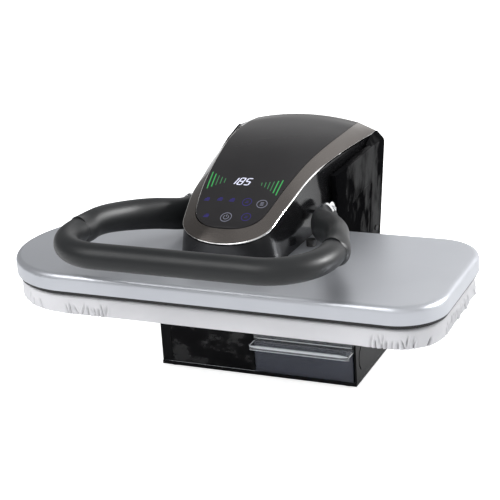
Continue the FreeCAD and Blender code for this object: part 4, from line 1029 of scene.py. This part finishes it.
def world_shine(tree):
    """Brightness that gloss sees: white low down and to the right, greyer above and at the
    left, and nearly dark at the far front right above the table."""
    place = tree.nodes.new("ShaderNodeTexCoord").outputs["Generated"]
    split = tree.nodes.new("ShaderNodeSeparateXYZ")
    link(tree, place, split.inputs["Vector"])
    height = between(tree, split.outputs["Z"], 1.0, 0.45, 0.36, 0.90)
    across = between(tree, split.outputs["X"], 0.24, 1.10, -0.54, -0.26)
    right = between(tree, split.outputs["X"], 0.0, 1.0, 0.62, 0.78)
    front = between(tree, split.outputs["Y"], 1.0, 0.0, 0.10, 0.28)
    raised = between(tree, split.outputs["Z"], 0.0, 1.0, 0.16, 0.26)
    shade = maths(tree, "MULTIPLY", maths(tree, "MULTIPLY", right, front), raised)
    open_sky = maths(tree, "SUBTRACT", 1.0, maths(tree, "MULTIPLY", shade, 0.85))
    return maths(tree, "MULTIPLY", maths(tree, "MULTIPLY", height, across), open_sky)


def seen_straight(tree, path):
    """1 for what the camera sees, straight or through something clear."""
    return maths(tree, "MAXIMUM", path.outputs["Is Camera Ray"],
                 path.outputs["Is Transmission Ray"])


def make_world():
    world = bpy.data.worlds.new("studio")
    bpy.context.scene.world = world
    world.use_nodes = True
    tree = world.node_tree
    light = tree.nodes["Background"]
    light.inputs["Color"].default_value = SKY
    light.inputs["Strength"].default_value = SKY_STRENGTH
    path = tree.nodes.new("ShaderNodeLightPath")
    white = tree.nodes.new("ShaderNodeBackground")
    white.inputs["Color"].default_value = WHITE
    shine = tree.nodes.new("ShaderNodeBackground")
    shine.inputs["Color"].default_value = WHITE
    link(tree, world_shine(tree), shine.inputs["Strength"])
    gloss = tree.nodes.new("ShaderNodeMixShader")
    link(tree, path.outputs["Is Glossy Ray"], gloss.inputs["Fac"])
    link(tree, light.outputs["Background"], gloss.inputs[1])
    link(tree, shine.outputs["Background"], gloss.inputs[2])
    mix = tree.nodes.new("ShaderNodeMixShader")
    link(tree, seen_straight(tree, path), mix.inputs["Fac"])
    link(tree, gloss.outputs["Shader"], mix.inputs[1])
    link(tree, white.outputs["Background"], mix.inputs[2])
    link(tree, mix.outputs["Shader"], tree.nodes["World Output"].inputs["Surface"])


def make_floor():
    """A pale floor that shows white where it is lit and keeps the soft shadow."""
    item, tree, shader = new_material("floor_pale", Roughness=0.9, Specular_IOR_Level=0.0,
                                      Emission_Color=WHITE)
    place = object_place(tree)
    link(tree, colours(tree, noise(tree, place, 2.0), (0.86, 0.86, 0.86), (0.88, 0.88, 0.88)),
         shader.inputs["Base Color"])
    path = tree.nodes.new("ShaderNodeLightPath")
    glow = maths(tree, "MULTIPLY", seen_straight(tree, path), FLOOR_GLOW)
    shine = maths(tree, "MULTIPLY", path.outputs["Is Glossy Ray"], FLOOR_SHINE)
    link(tree, maths(tree, "MAXIMUM", glow, shine), shader.inputs["Emission Strength"])
    mesh = bpy.data.meshes.new("floor")
    reach = FLOOR_REACH
    corners = [(-reach, -reach, 0), (reach, -reach, 0), (reach, reach, 0), (-reach, reach, 0)]
    mesh.from_pydata(corners, [], [(0, 1, 2, 3)])
    mesh.materials.append(item)
    floor = bpy.data.objects.new("floor", mesh)
    bpy.context.scene.collection.objects.link(floor)


def make_stage():
    make_world()
    make_floor()
    for name, settings in LAMPS.items():
        area_lamp(name, *settings)


make_camera()
materials = make_materials()
paint_nodes()
make_pad()
make_cloth()
make_grip()
make_hood_lines()
make_display()
make_edge_highlights()
make_side_slit()
make_corner("column_corner_right", 1)
make_corner("column_corner_left", -1)
make_stage()

bpy.context.scene.view_settings.view_transform = "Standard"
